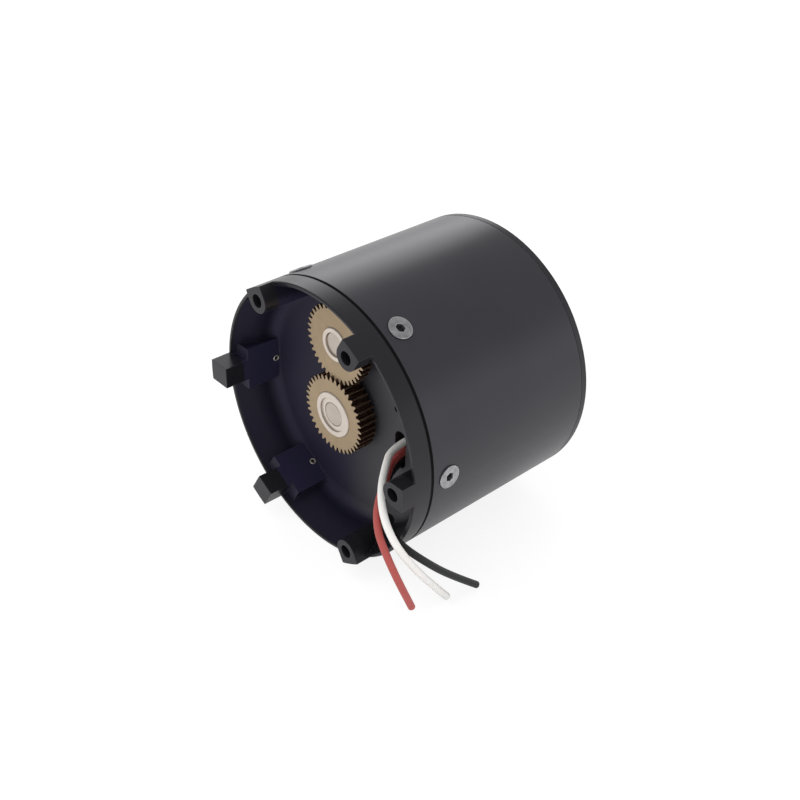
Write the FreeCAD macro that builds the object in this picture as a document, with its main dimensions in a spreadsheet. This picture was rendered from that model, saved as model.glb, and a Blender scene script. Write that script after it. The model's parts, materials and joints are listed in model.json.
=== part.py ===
import FreeCAD, Part
import math
import os
import Sketcher

# Hollow-backed robot joint actuator: an inner-rotor motor drives a single-stage planetary
# reduction to an output flange at the front, and a pair of encoder gears in the open rear bay.
# The axis of the motor is +X, from the front mounting face (X = 0) to the rear bay; +Z is up.

os.makedirs("parts", exist_ok=True)
doc = FreeCAD.newDocument("JointActuator")

# ---------------------------------------------------------------- driving dimensions (mm, degrees)
SIZES = [
    ("body_diameter", 68.0, "outside of the tube, the front flange and the rear ring"),
    ("seam_x", 51.0, "where the tube meets the rear ring"),
    ("tube_wall", 2.0, "wall of the motor tube"),
    ("seat_gap", 0.05, "radial room of a located seat"),
    ("run_gap", 0.3, "room beside a moving piece"),
    ("oil_gap", 0.03, "radial room of a running bore"),
    ("backlash", 0.14, "room between meshed teeth at the pitch line"),
    ("edge_break", 0.4, "chamfer on turned edges"),
    ("cut_past", 1.0, "how far a cut runs past the surface that it opens"),
    ("front_chamfer", 0.8, "chamfer round the front face"),
    ("flange_thickness", 2.3, "front flange seen behind the tube"),
    ("spigot_end_x", 7.0, "end of the front housing's spigot inside the tube"),
    ("neck_wall", 3.4, "wall of the gearbox neck round the ring gear"),
    ("lip_thickness", 1.5, "front lip that keeps the output bearing in"),
    ("output_bearing_bore", 30.0, "output bearing, inside diameter"),
    ("output_bearing_outside", 42.0, "output bearing, outside diameter"),
    ("output_bearing_width", 7.0, "output bearing, width"),
    ("race_thickness", 2.0, "thickness of each race of the output bearing"),
    ("lip_setback", 0.6, "front lip and snap ring, outside the bore of the outer race"),
    ("shoulder_setback", 0.3, "shoulder behind the inner race, inside that race's outside"),
    ("snap_ring_thickness", 1.2, "ring behind the output bearing"),
    ("snap_ring_depth", 1.0, "how deep the snap ring sits in its groove"),
    ("snap_ring_arc", 335.0, "arc of the snap ring, which is open at one place"),
    ("output_proud", 1.0, "how far the output face stands in front of the housing"),
    ("output_bolt_circle", 22.0, "pitch circle of the output bolts"),
    ("output_bolt_core", 3.3, "tapped hole for an output bolt"),
    ("output_bolt_depth", 7.5, "depth of the output bolt holes"),
    ("output_bolt_count", 6, "bolts on the output flange"),
    ("pilot_bore", 10.0, "centring bore in the output flange"),
    ("pilot_depth", 4.0, "depth of the centring bore"),
    ("carrier_thickness", 4.0, "plate that holds the planet pins"),
    ("carrier_recess", 1.0, "recess in that plate for the nose of the rotor shaft"),
    ("front_screw_circle", 57.0, "pitch circle of the front screws"),
    ("housing_bolt_circle", 52.0, "pitch circle of the mounting holes"),
    ("housing_bolt_core", 3.3, "tapped mounting hole in the front face"),
    ("housing_bolt_depth", 6.0, "depth of the mounting holes"),
    ("housing_bolt_count", 6, "mounting holes, and as many front screws between them"),
    ("gear_module", 0.5, "module of every gear"),
    ("pressure_angle", 20.0, "pressure angle of every gear"),
    ("sun_teeth", 18, "teeth on the sun pinion"),
    ("planet_teeth", 27, "teeth on each planet"),
    ("planet_count", 3, "planets"),
    ("gear_width", 7.2, "face width of the planets"),
    ("ring_gear_wall", 3.3, "wall of the ring gear behind its tooth roots"),
    ("drive_teeth", 38, "teeth on the encoder gear of the rotor"),
    ("count_teeth", 37, "teeth on the second encoder gear"),
    ("planet_pin", 4.0, "diameter of the planet pins"),
    ("bush_wall", 1.0, "wall of the planet bushes"),
    ("shaft_diameter", 8.0, "rotor shaft at its bearings"),
    ("nose_diameter", 5.0, "rotor shaft inside the sun pinion"),
    ("rotor_bearing_outside", 16.0, "rotor bearings, outside diameter"),
    ("rotor_bearing_width", 5.0, "rotor bearings, width"),
    ("rotor_race_thickness", 1.5, "thickness of each race of a rotor bearing"),
    ("boss_wall", 2.0, "wall round a rotor bearing"),
    ("bearing_lip", 0.8, "lip that a rotor bearing rests on"),
    ("plate_thickness", 3.0, "motor plate between gearbox and motor"),
    ("stop_height", 1.5, "shoulder in the tube that the motor plate rests on"),
    ("stop_width", 2.0, "length of that shoulder"),
    ("floor_thickness", 3.0, "floor between the motor and the rear bay"),
    ("bay_depth", 6.1, "floor of the rear bay below the seam"),
    ("stack_length", 12.0, "laminated stator stack"),
    ("coil_overhang", 2.3, "windings past each end of the stack"),
    ("yoke_thickness", 3.2, "back iron of the stator"),
    ("tooth_width", 4.6, "stator tooth"),
    ("shoe_height", 1.2, "foot of a stator tooth"),
    ("shoe_angle", 24.0, "arc of a tooth's foot"),
    ("slot_count", 12, "stator teeth and coils"),
    ("coil_half_width", 5.2, "half the width of a coil"),
    ("air_gap", 0.6, "between magnets and stator teeth"),
    ("stator_bore", 41.6, "inside diameter of the stator"),
    ("magnet_thickness", 1.8, "rotor magnets"),
    ("magnet_count", 14, "rotor magnets"),
    ("magnet_angle", 23.5, "arc of one rotor magnet"),
    ("rotor_rim", 2.3, "rim of the rotor hub under the magnets"),
    ("rotor_web", 3.0, "web of the rotor hub"),
    ("web_hole_count", 6, "lightening holes in that web"),
    ("rim_height", 5.1, "rear ring above the seam"),
    ("rim_wall", 0.8, "wall at the rim"),
    ("flare_drop", 0.8, "the bay's wall starts to flare towards the rim this far below the seam"),
    ("bay_cove", 3.5, "round between the bay's wall and its floor"),
    ("bay_wall", 3.6, "wall round the bay, from the body's outside"),
    ("lug_height", 8.7, "lug tips above the seam"),
    ("cover_hole_radius", 30.8, "cover screw holes from the axis"),
    ("cover_hole_core", 3.3, "tapped hole for a cover screw"),
    ("cover_hole_depth", 9.0, "depth of a cover screw hole"),
    ("pillar_diameter", 6.0, "round pillar under a cover screw hole"),
    ("tab_width", 5.5, "plain locating tab, across"),
    ("tab_height", 10.1, "tab tips above the seam"),
    ("pad_width", 11.3, "flat pad on the bay wall behind a side screw"),
    ("pad_face_radius", 28.0, "flat inner face of that pad and its tab, from the axis"),
    ("pad_drop", 1.5, "pads below the rim"),
    ("side_screw_drop", 4.9, "side screws below the seam"),
    ("side_screw_count", 6, "countersunk screws round the tube"),
    ("side_screw_length", 5.0, "length of a side screw"),
    ("tap_past", 0.1, "how far a side screw's tapped hole runs past its end"),
    ("drill_break", 1.2, "small hole where the drill for a side screw breaks through the pad"),
    ("screw_diameter", 3.0, "screws"),
    ("screw_point", 0.3, "chamfer at the end of a side screw"),
    ("screw_head", 5.5, "countersunk heads, across"),
    ("head_land", 0.3, "straight edge of a countersunk head"),
    ("socket_flats", 2.0, "hexagon socket, across flats"),
    ("socket_depth", 1.1, "hexagon socket, depth"),
    ("cap_head", 5.5, "cheese heads of the carrier screws"),
    ("cap_head_height", 1.4, "height of those heads"),
    ("carrier_screw_circle", 20.0, "pitch circle of the carrier screws"),
    ("carrier_screw_grip", 3.0, "thread of a carrier screw in the output flange"),
    ("carrier_screw_angle", 30.0, "first carrier screw from +Y, between an output bolt and the next"),
    ("slot_radius", 17.0, "lead slot in the floor, from the axis"),
    ("slot_length", 10.0, "lead slot, end to end"),
    ("slot_width", 3.6, "lead slot, across"),
    ("slot_shift", 3.2, "lead slot's middle below the axis"),
    ("dowel_hole", 1.4, "small locating hole in the floor"),
    ("dowel_angle", 25.0, "angle of that hole from +Y towards +Z"),
    ("lead_diameter", 2.2, "outside of a lead"),
    ("drive_width", 4.7, "face width of the rotor's encoder gear"),
    ("drive_face_drop", 0.3, "its front face below the seam"),
    ("count_width", 2.8, "face width of the second encoder gear"),
    ("count_face_drop", 1.0, "its front face below the seam"),
    ("magnet_diameter", 6.0, "encoder magnets"),
    ("magnet_height", 2.4, "encoder magnets, height"),
    ("magnet_floor", 0.6, "from the rotor shaft's end to the magnet, less the holder's overhang"),
    ("drive_holder_diameter", 11.5, "magnet holder in the rotor's encoder gear"),
    ("count_holder_diameter", 8.4, "magnet holder in the second encoder gear"),
    ("holder_step", 1.3, "ring round the magnet, set back from the holder's face"),
    ("count_axle_diameter", 3.0, "axle of the second encoder gear"),
    ("collar_height", 0.7, "collar of that axle on the floor"),
]
# each lead leaves the slot, crosses the rim between two lugs and drops to the level of the body
ARC_SHARE = 0.45      # of the shorter run, used up by the arc at each end of a run
LEAD_ROUTES = {
    "lead_white": [
        (42.2, 17.0, -1.5), (47.8, 17.0, -1.7), (52.2, 20.2, -2.3), (57.5, 24.6, -3.6),
        (60.3, 29.4, -6.6), (60.5, 33.6, -10.5), (58.1, 36.2, -16.1), (53.8, 37.6, -23.6),
        (47.6, 37.2, -32.5),
    ],
    "lead_red": [
        (42.2, 17.0, -3.9), (47.8, 17.3, -4.6), (52.0, 20.4, -5.9), (57.9, 24.0, -7.8),
        (61.5, 28.2, -10.4), (62.4, 32.0, -13.9), (61.9, 34.8, -18.7), (60.1, 36.2, -24.5),
        (57.6, 36.0, -30.3),
    ],
    "lead_black": [
        (42.2, 17.0, -6.3), (47.6, 17.1, -7.2), (51.0, 18.9, -10.0), (54.9, 22.1, -11.8),
        (57.6, 26.2, -12.9), (58.1, 31.2, -15.2), (54.4, 34.7, -19.8), (47.6, 37.2, -26.0),
        (39.7, 39.0, -32.4),
    ],
}
COVER_HOLE_ANGLES = (0, 60, 120, 300)     # pillars with a tapped hole for the rear cover
TAB_ANGLES = (180, 240)                   # plain tabs that locate the rear cover

sheet = doc.addObject("Spreadsheet::Sheet", "Dims")
for row, (alias, size, meaning) in enumerate(SIZES, start=1):
    sheet.set(f"A{row}", meaning)
    sheet.set(f"B{row}", str(size))
    sheet.setAlias(f"B{row}", alias)
doc.recompute()

# ---------------------------------------------------------------- places worked out from the sizes
BODY_R = "(Dims.body_diameter / 2)"
TUBE_BORE_R = f"({BODY_R} - Dims.tube_wall)"
SEATED_R = f"({TUBE_BORE_R} - Dims.seat_gap)"

OUTPUT_SEAT_R = "(Dims.output_bearing_outside / 2 + Dims.seat_gap)"
OUTPUT_HUB_R = "(Dims.output_bearing_bore / 2 - Dims.seat_gap)"
OUTPUT_INNER_RACE_R = "(Dims.output_bearing_bore / 2 + Dims.race_thickness)"
OUTPUT_OUTER_RACE_R = "(Dims.output_bearing_outside / 2 - Dims.race_thickness)"
LIP_R = f"({OUTPUT_OUTER_RACE_R} + Dims.lip_setback)"
SHOULDER_R = f"({OUTPUT_INNER_RACE_R} - Dims.shoulder_setback)"
OUTPUT_BEARING_END = "(Dims.lip_thickness + Dims.output_bearing_width)"
SNAP_END = f"({OUTPUT_BEARING_END} + Dims.snap_ring_thickness)"

RING_TEETH = "(Dims.sun_teeth + 2 * Dims.planet_teeth)"
SUN_PITCH_R = "(Dims.gear_module * Dims.sun_teeth / 2)"
PLANET_PITCH_R = "(Dims.gear_module * Dims.planet_teeth / 2)"
PLANET_ORBIT_R = f"({SUN_PITCH_R} + {PLANET_PITCH_R})"
RING_PITCH_R = f"(Dims.gear_module * {RING_TEETH} / 2)"
RING_OUTER_R = f"({RING_PITCH_R} + 1.25 * Dims.gear_module + Dims.ring_gear_wall)"
NECK_R = f"({RING_OUTER_R} + Dims.seat_gap + Dims.neck_wall)"

CARRIER_X = OUTPUT_BEARING_END
CARRIER_END = f"({CARRIER_X} + Dims.carrier_thickness)"
GEARS_X = f"({CARRIER_END} + 2 * Dims.run_gap)"
GEARS_END = f"({GEARS_X} + Dims.gear_width)"
PLATE_X = f"({GEARS_END} + Dims.run_gap + 2 * Dims.run_gap)"
PLATE_END = f"({PLATE_X} + Dims.plate_thickness)"

ROTOR_BEARING_R = "(Dims.rotor_bearing_outside / 2)"
ROTOR_SEAT_R = f"({ROTOR_BEARING_R} + Dims.seat_gap)"
ROTOR_BOSS_R = f"({ROTOR_SEAT_R} + Dims.boss_wall)"
BEARING_LIP_R = f"({ROTOR_BEARING_R} - Dims.rotor_race_thickness)"
FRONT_BEARING_X = f"({PLATE_X} + Dims.bearing_lip)"
FRONT_BEARING_END = f"({FRONT_BEARING_X} + Dims.rotor_bearing_width)"
BAY_FLOOR_X = "(Dims.seam_x - Dims.bay_depth)"
FLOOR_X = f"({BAY_FLOOR_X} - Dims.floor_thickness)"
REAR_BEARING_END = f"({BAY_FLOOR_X} - Dims.bearing_lip)"
REAR_BEARING_X = f"({REAR_BEARING_END} - Dims.rotor_bearing_width)"

MOTOR_MIDDLE_X = f"(({PLATE_END} + {FLOOR_X}) / 2)"
STACK_X = f"({MOTOR_MIDDLE_X} - Dims.stack_length / 2)"
MAGNET_OUTER_R = "(Dims.stator_bore / 2 - Dims.air_gap)"
MAGNET_INNER_R = f"({MAGNET_OUTER_R} - Dims.magnet_thickness)"
RIM_OUTER_R = f"({MAGNET_INNER_R} - Dims.seat_gap)"
YOKE_INNER_R = f"({SEATED_R} - Dims.yoke_thickness)"

RIM_X = "(Dims.seam_x + Dims.rim_height)"
LUG_TIP_X = "(Dims.seam_x + Dims.lug_height)"
TAB_TIP_X = "(Dims.seam_x + Dims.tab_height)"
RIM_INNER_R = f"({BODY_R} - Dims.rim_wall)"
SIDE_SCREW_X = "(Dims.seam_x - Dims.side_screw_drop)"

ENCODER_CENTRES = "(Dims.gear_module * (Dims.drive_teeth + Dims.count_teeth) / 2)"
ENCODER_REACH = f"({ENCODER_CENTRES} + Dims.gear_module * (Dims.count_teeth / 2 + 1))"
BAY_R = f"max({BODY_R} - Dims.bay_wall; {ENCODER_REACH} + 2 * Dims.run_gap)"
DRIVE_FACE_X = "(Dims.seam_x - Dims.drive_face_drop)"
COUNT_FACE_X = "(Dims.seam_x - Dims.count_face_drop)"
SHAFT_END = f"({DRIVE_FACE_X} - Dims.magnet_height - Dims.magnet_floor)"
HALF_SCREW = "(Dims.screw_diameter / 2)"
THREAD_R = f"({HALF_SCREW} + Dims.seat_gap)"


def mm(expression):
    """The value of an expression on the sheet, as a plain number."""
    return float(sheet.evalExpression(expression.replace("Dims.", "")))


# ---------------------------------------------------------------- sketches
def new_body(label):
    body = doc.addObject("PartDesign::Body", label)
    body.Label = label
    body.AllowCompound = True
    return body


def origin_of(body, role):
    return next(feature for feature in body.Origin.OriginFeatures if feature.Role == role)


def sketch_on(body, plane, slide="0", lift="0", turn=0.0):
    """A sketch on an origin plane: slid along its own x, lifted off the plane, turned in it."""
    sketch = body.newObject("Sketcher::SketchObject", body.Label + "_sketch")
    sketch.AttachmentSupport = [(origin_of(body, plane), "")]
    sketch.MapMode = "FlatFace"
    spin = FreeCAD.Rotation(FreeCAD.Vector(0, 0, 1), turn)
    sketch.AttachmentOffset = FreeCAD.Placement(FreeCAD.Vector(mm(slide), 0, mm(lift)), spin)
    sketch.setExpression("AttachmentOffset.Base.x", slide)
    sketch.setExpression("AttachmentOffset.Base.z", lift)
    return sketch


def bind(sketch, kind, expression, *where):
    index = sketch.addConstraint(Sketcher.Constraint(kind, *where, mm(expression)))
    sketch.setExpression(f"Constraints[{index}]", expression)


def outline(sketch, corners):
    """A closed outline of straight edges; each corner is a pair of expressions."""
    first = sketch.GeometryCount
    spots = [FreeCAD.Vector(mm(along), mm(across), 0) for along, across in corners]
    for here, there in zip(spots, spots[1:] + spots[:1]):
        sketch.addGeometry(Part.LineSegment(here, there))
    for step, (along, across) in enumerate(corners):
        following = first + (step + 1) % len(corners)
        sketch.addConstraint(Sketcher.Constraint("Coincident", first + step, 2, following, 1))
        bind(sketch, "DistanceX", along, -1, 1, first + step, 1)
        bind(sketch, "DistanceY", across, -1, 1, first + step, 1)


def rectangle(sketch, left, right, low, high):
    outline(sketch, [(left, low), (right, low), (right, high), (left, high)])


def circle(sketch, along, across, radius):
    centre = FreeCAD.Vector(mm(along), mm(across), 0)
    ring = sketch.addGeometry(Part.Circle(centre, FreeCAD.Vector(0, 0, 1), mm(radius)))
    bind(sketch, "DistanceX", along, -1, 1, ring, 3)
    bind(sketch, "DistanceY", across, -1, 1, ring, 3)
    bind(sketch, "Radius", radius, ring)


def hexagon(sketch, along, across, flats):
    """A hexagon with two flats square to the sketch's x."""
    half = f"({flats}) / 2"
    corner = f"({flats}) / sqrt(3)"
    corners = [(half, f"{corner} / 2"), ("0", corner), (f"-({half})", f"{corner} / 2")]
    corners += [(f"-({x})", f"-({y})") for x, y in corners]
    outline(sketch, [(f"{along} + {x}", f"{across} + {y}") for x, y in corners])


def obround(sketch, middle_x, middle_y, width, length):
    """A slot with round ends, long in the sketch's y."""
    radius = f"({width}) / 2"
    reach = f"(({length}) / 2 - {radius})"
    normal = FreeCAD.Vector(0, 0, 1)
    ends = []
    for side, start in ((1, 0), (-1, math.pi)):
        spot = FreeCAD.Vector(mm(middle_x), mm(middle_y) + side * mm(reach), 0)
        arc = Part.ArcOfCircle(Part.Circle(spot, normal, mm(radius)), start, start + math.pi)
        end = sketch.addGeometry(arc)
        bind(sketch, "DistanceX", middle_x, -1, 1, end, 3)
        bind(sketch, "DistanceY", f"{middle_y} + {side} * {reach}", -1, 1, end, 3)
        ends.append(end)
    bind(sketch, "Radius", radius, ends[0])
    for here, there in (ends, ends[::-1]):
        line = Part.LineSegment(sketch.getPoint(here, 2), sketch.getPoint(there, 1))
        side = sketch.addGeometry(line)
        sketch.addConstraint(Sketcher.Constraint("Tangent", here, 2, side, 1))
        sketch.addConstraint(Sketcher.Constraint("Tangent", side, 2, there, 1))


# ---------------------------------------------------------------- features
def feature(body, kind, sketch, **settings):
    made = body.newObject("PartDesign::" + kind, body.Label + "_" + kind.lower())
    made.Profile = sketch
    for name, value in settings.items():
        setattr(made, name, value)
    return made


def volume_of(body):
    doc.recompute()
    return 0.0 if body.Tip is None else body.Shape.Volume


def must_cut(body, before):
    if not volume_of(body) < before - 0.01:
        raise RuntimeError(body.Label + ": a cut took nothing away")


def rounded_edge(body, place, radius, size):
    """A fillet on the ring-shaped edge at that place along the axis, with that radius."""
    doc.recompute()
    solid = body.Tip
    names = [
        f"Edge{number}" for number, edge in enumerate(solid.Shape.Edges, start=1)
        if isinstance(edge.Curve, Part.Circle)
        and abs(edge.Curve.Center.x - mm(place)) < 0.01 and abs(edge.Curve.Radius - mm(radius)) < 0.01
    ]
    made = body.newObject("PartDesign::Fillet", body.Label + "_fillet")
    made.Base = (solid, names)
    made.Radius = mm(size)
    made.setExpression("Radius", size)


def turn_about(body, sketch, axis, angle=360.0, middle=False):
    return feature(body, "Revolution", sketch, ReferenceAxis=axis, Angle=angle, Midplane=middle)


def turned(body, corners):
    """A turned form: (X, radius) corners swept about the actuator's axis."""
    sketch = sketch_on(body, "XZ_Plane")
    outline(sketch, corners)
    return turn_about(body, sketch, (origin_of(body, "X_Axis"), [""]))


def grooved(body, sketch, axis):
    before = volume_of(body)
    groove = feature(body, "Groove", sketch, ReferenceAxis=axis, Angle=360.0)
    must_cut(body, before)
    return groove


def padded(body, sketch, length):
    pad = feature(body, "Pad", sketch)
    pad.setExpression("Length", length)
    return pad


def pocketed(body, sketch, depth=None, forward=True):
    """A pocket along the sketch's normal, or against it; with no depth it goes right through."""
    before = volume_of(body)
    pocket = feature(body, "Pocket", sketch, Reversed=forward, Type=1 if depth is None else 0)
    if depth is not None:
        pocket.setExpression("Length", depth)
    must_cut(body, before)
    return pocket


def patterned(body, originals, count):
    """The features repeated evenly round the actuator's axis."""
    doc.recompute()
    pattern = body.newObject("PartDesign::PolarPattern", body.Label + "_pattern")
    pattern.Originals = originals
    pattern.Axis = (origin_of(body, "X_Axis"), [""])
    pattern.Angle = 360.0
    pattern.setExpression("Occurrences", count)
    body.Tip = pattern
    return pattern


def ring(label, low_x, high_x, inner, outer, edge="0"):
    """A turned ring, with its four edges broken when an edge size is given."""
    body = new_body(label)
    if edge == "0":
        turned(body, [(low_x, inner), (high_x, inner), (high_x, outer), (low_x, outer)])
        return body
    turned(body, [
        (low_x, f"{inner} + {edge}"), (f"{low_x} + {edge}", inner),
        (f"{high_x} - {edge}", inner), (high_x, f"{inner} + {edge}"),
        (high_x, f"{outer} - {edge}"), (f"{high_x} - {edge}", outer),
        (f"{low_x} + {edge}", outer), (low_x, f"{outer} - {edge}"),
    ])
    return body


def plug(label, low_x, high_x, radius):
    """A turned disc or pin on the actuator's axis."""
    body = new_body(label)
    edge = "Dims.edge_break / 2"
    turned(body, [
        (low_x, "0"), (low_x, f"{radius} - {edge}"), (f"{low_x} + {edge}", radius),
        (f"{high_x} - {edge}", radius), (high_x, f"{radius} - {edge}"), (high_x, "0"),
    ])
    return body


def round_holes(body, face_x, circle_r, radius, depth, count, turn=0.0, forward=True):
    """Evenly spaced round holes, parallel to the axis; returns the pattern."""
    sketch = sketch_on(body, "YZ_Plane", lift=face_x, turn=turn)
    circle(sketch, circle_r, "0", radius)
    return patterned(body, [pocketed(body, sketch, depth, forward)], count)


# ---------------------------------------------------------------- gear teeth
def involute(angle):
    return math.tan(angle) - angle


def flank_points(teeth, radii, thickness_change):
    """Half the angle of an involute tooth at each radius."""
    module = mm("Dims.gear_module")
    pressure = math.radians(mm("Dims.pressure_angle"))
    pitch = module * teeth / 2
    base = pitch * math.cos(pressure)
    half_at_pitch = math.pi / (2 * teeth) + thickness_change / (2 * pitch)
    points = []
    for radius in radii:
        rolled = math.acos(min(1.0, base / radius))
        points.append((radius, half_at_pitch + involute(pressure) - involute(rolled)))
    return points


def tooth_gap(sketch, flank, middle):
    """A closed outline that is symmetric about the direction 'middle'."""
    sides = [(radius, middle + half) for radius, half in flank]
    sides += [(radius, middle - half) for radius, half in reversed(flank)]
    spots = [FreeCAD.Vector(r * math.cos(a), r * math.sin(a), 0) for r, a in sides]
    first = sketch.GeometryCount
    for here, there in zip(spots, spots[1:] + spots[:1]):
        sketch.addGeometry(Part.LineSegment(here, there))
    for step in range(len(spots)):
        following = first + (step + 1) % len(spots)
        sketch.addConstraint(Sketcher.Constraint("Coincident", first + step, 2, following, 1))


def cut_outer_teeth(body, teeth, face_x):
    """Gaps round a blank: a tooth points along +Y, and each gap runs to the root circle."""
    count = round(mm(teeth))
    module = mm("Dims.gear_module")
    pitch = module * count / 2
    radii = [pitch - 1.25 * module, pitch - 0.5 * module, pitch + 0.2 * module, pitch + 1.1 * module]
    teeth_flank = flank_points(count, radii, -mm("Dims.backlash") / 2)
    gap = [(radius, math.pi / count - half) for radius, half in teeth_flank]
    gap.append((pitch + 2 * module, gap[-1][1]))
    sketch = sketch_on(body, "YZ_Plane", lift=face_x)
    tooth_gap(sketch, gap, math.pi / count)
    patterned(body, [pocketed(body, sketch)], teeth)


def outer_tip(teeth):
    return f"(Dims.gear_module * ({teeth} / 2 + 1))"


# ---------------------------------------------------------------- casings
def motor_tube():
    body = new_body("motor_tube")
    front = "Dims.flange_thickness"
    edge = "Dims.edge_break / 2"
    stop = f"({PLATE_X} - Dims.stop_width)"
    turned(body, [
        (front, TUBE_BORE_R), (stop, TUBE_BORE_R),
        (stop, f"{TUBE_BORE_R} - Dims.stop_height"), (PLATE_X, f"{TUBE_BORE_R} - Dims.stop_height"),
        (PLATE_X, TUBE_BORE_R), ("Dims.seam_x", TUBE_BORE_R),
        ("Dims.seam_x", f"{BODY_R} - {edge}"), (f"Dims.seam_x - {edge}", BODY_R),
        (f"{front} + {edge}", BODY_R), (front, f"{BODY_R} - {edge}"),
    ])
    sketch = sketch_on(body, "XY_Plane", slide=SIDE_SCREW_X)
    screw_space(sketch, BODY_R, f"{TUBE_BORE_R} - Dims.cut_past")
    seat = grooved(body, sketch, (sketch, ["V_Axis"]))
    patterned(body, [seat], "Dims.side_screw_count")
    return body


def screw_space(sketch, face, end):
    """The room of a countersunk screw, along the sketch's y from its face to its end."""
    head = "(Dims.screw_head / 2 + Dims.seat_gap)"
    land = f"{face} - Dims.head_land - Dims.seat_gap"
    cone = f"{land} - ({head} - {THREAD_R})"
    outline(sketch, [
        ("0", end), (THREAD_R, end), (THREAD_R, cone), (head, land),
        (head, f"{face} + Dims.cut_past"), ("0", f"{face} + Dims.cut_past"),
    ])


def rear_housing():
    body = new_body("rear_housing")
    edge = "Dims.edge_break / 2"
    turned(body, [
        (REAR_BEARING_X, ROTOR_SEAT_R), (REAR_BEARING_END, ROTOR_SEAT_R),
        (REAR_BEARING_END, BEARING_LIP_R), (BAY_FLOOR_X, BEARING_LIP_R),
        (BAY_FLOOR_X, BAY_R), ("Dims.seam_x - Dims.flare_drop", BAY_R), (RIM_X, RIM_INNER_R),
        (RIM_X, f"{BODY_R} - {edge}"), (f"{RIM_X} - {edge}", BODY_R),
        (f"Dims.seam_x + {edge}", BODY_R), ("Dims.seam_x", f"{BODY_R} - {edge}"),
        ("Dims.seam_x", SEATED_R), (f"{FLOOR_X} + {edge}", SEATED_R),
        (FLOOR_X, f"{SEATED_R} - {edge}"), (FLOOR_X, ROTOR_BOSS_R),
        (REAR_BEARING_X, ROTOR_BOSS_R),
    ])
    rounded_edge(body, BAY_FLOOR_X, BAY_R, "Dims.bay_cove")
    inside_r = f"({SEATED_R} - Dims.seat_gap)"
    lower = f"(Dims.seam_x - {BAY_FLOOR_X})"
    for angle in COVER_HOLE_ANGLES:
        for low_x, height, outside in (
            (BAY_FLOOR_X, lower, inside_r), ("Dims.seam_x", "Dims.lug_height", BODY_R),
        ):
            column = sketch_on(body, "YZ_Plane", lift=low_x, turn=angle)
            circle(column, "Dims.cover_hole_radius", "0", "Dims.pillar_diameter / 2")
            padded(body, column, height)
            lug = sketch_on(body, "YZ_Plane", lift=low_x, turn=angle)
            half = "Dims.pillar_diameter / 2"
            rectangle(lug, "Dims.cover_hole_radius", outside, f"-{half}", half)
            padded(body, lug, height)
    for angle in TAB_ANGLES:
        pad = sketch_on(body, "YZ_Plane", lift=BAY_FLOOR_X, turn=angle)
        half = "Dims.pad_width / 2"
        rectangle(pad, "Dims.pad_face_radius", f"{BODY_R} - Dims.rim_wall", f"-{half}", half)
        padded(body, pad, f"{RIM_X} - Dims.pad_drop - {BAY_FLOOR_X}")
        tab = sketch_on(body, "YZ_Plane", lift="Dims.seam_x", turn=angle)
        half = "Dims.tab_width / 2"
        rectangle(tab, "Dims.pad_face_radius", BODY_R, f"-{half}", half)
        padded(body, tab, "Dims.tab_height")
    past_lugs = f"({BODY_R} + Dims.pillar_diameter)"
    trim = sketch_on(body, "XZ_Plane")
    outline(trim, [
        (BAY_FLOOR_X, SEATED_R), ("Dims.seam_x", SEATED_R), ("Dims.seam_x", BODY_R),
        (f"{TAB_TIP_X} + Dims.cut_past", BODY_R), (f"{TAB_TIP_X} + Dims.cut_past", past_lugs),
        (BAY_FLOOR_X, past_lugs),
    ])
    grooved(body, trim, (origin_of(body, "X_Axis"), [""]))
    for angle in COVER_HOLE_ANGLES:
        hole = sketch_on(body, "YZ_Plane", lift=LUG_TIP_X, turn=angle)
        circle(hole, "Dims.cover_hole_radius", "0", "Dims.cover_hole_core / 2")
        pocketed(body, hole, "Dims.cover_hole_depth", forward=False)
    slot = sketch_on(body, "YZ_Plane", lift=BAY_FLOOR_X)
    obround(slot, "Dims.slot_radius", "-Dims.slot_shift", "Dims.slot_width", "Dims.slot_length")
    pocketed(body, slot, f"{BAY_FLOOR_X} - {FLOOR_X}", forward=False)
    dowel = sketch_on(body, "YZ_Plane", lift=BAY_FLOOR_X, turn=mm("Dims.dowel_angle"))
    circle(dowel, "Dims.slot_radius", "0", "Dims.dowel_hole / 2")
    pocketed(body, dowel, f"{BAY_FLOOR_X} - {FLOOR_X}", forward=False)
    axle = sketch_on(body, "YZ_Plane", lift=BAY_FLOOR_X)
    circle(axle, "0", ENCODER_CENTRES, "Dims.count_axle_diameter / 2 + Dims.seat_gap")
    pocketed(body, axle, f"{BAY_FLOOR_X} - {FLOOR_X}", forward=False)
    tap = sketch_on(body, "XY_Plane", slide=SIDE_SCREW_X)
    end = f"({BODY_R} - Dims.side_screw_length - Dims.tap_past)"
    bay_side = "Dims.pad_face_radius - Dims.cut_past"
    outside = f"{SEATED_R} + Dims.cut_past"
    drill_tip = "Dims.drill_break / 2"
    outline(tap, [
        ("0", bay_side), (drill_tip, bay_side), (drill_tip, end),
        (THREAD_R, end), (THREAD_R, outside), ("0", outside),
    ])
    thread = grooved(body, tap, (tap, ["V_Axis"]))
    patterned(body, [thread], "Dims.side_screw_count")
    return body


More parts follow.
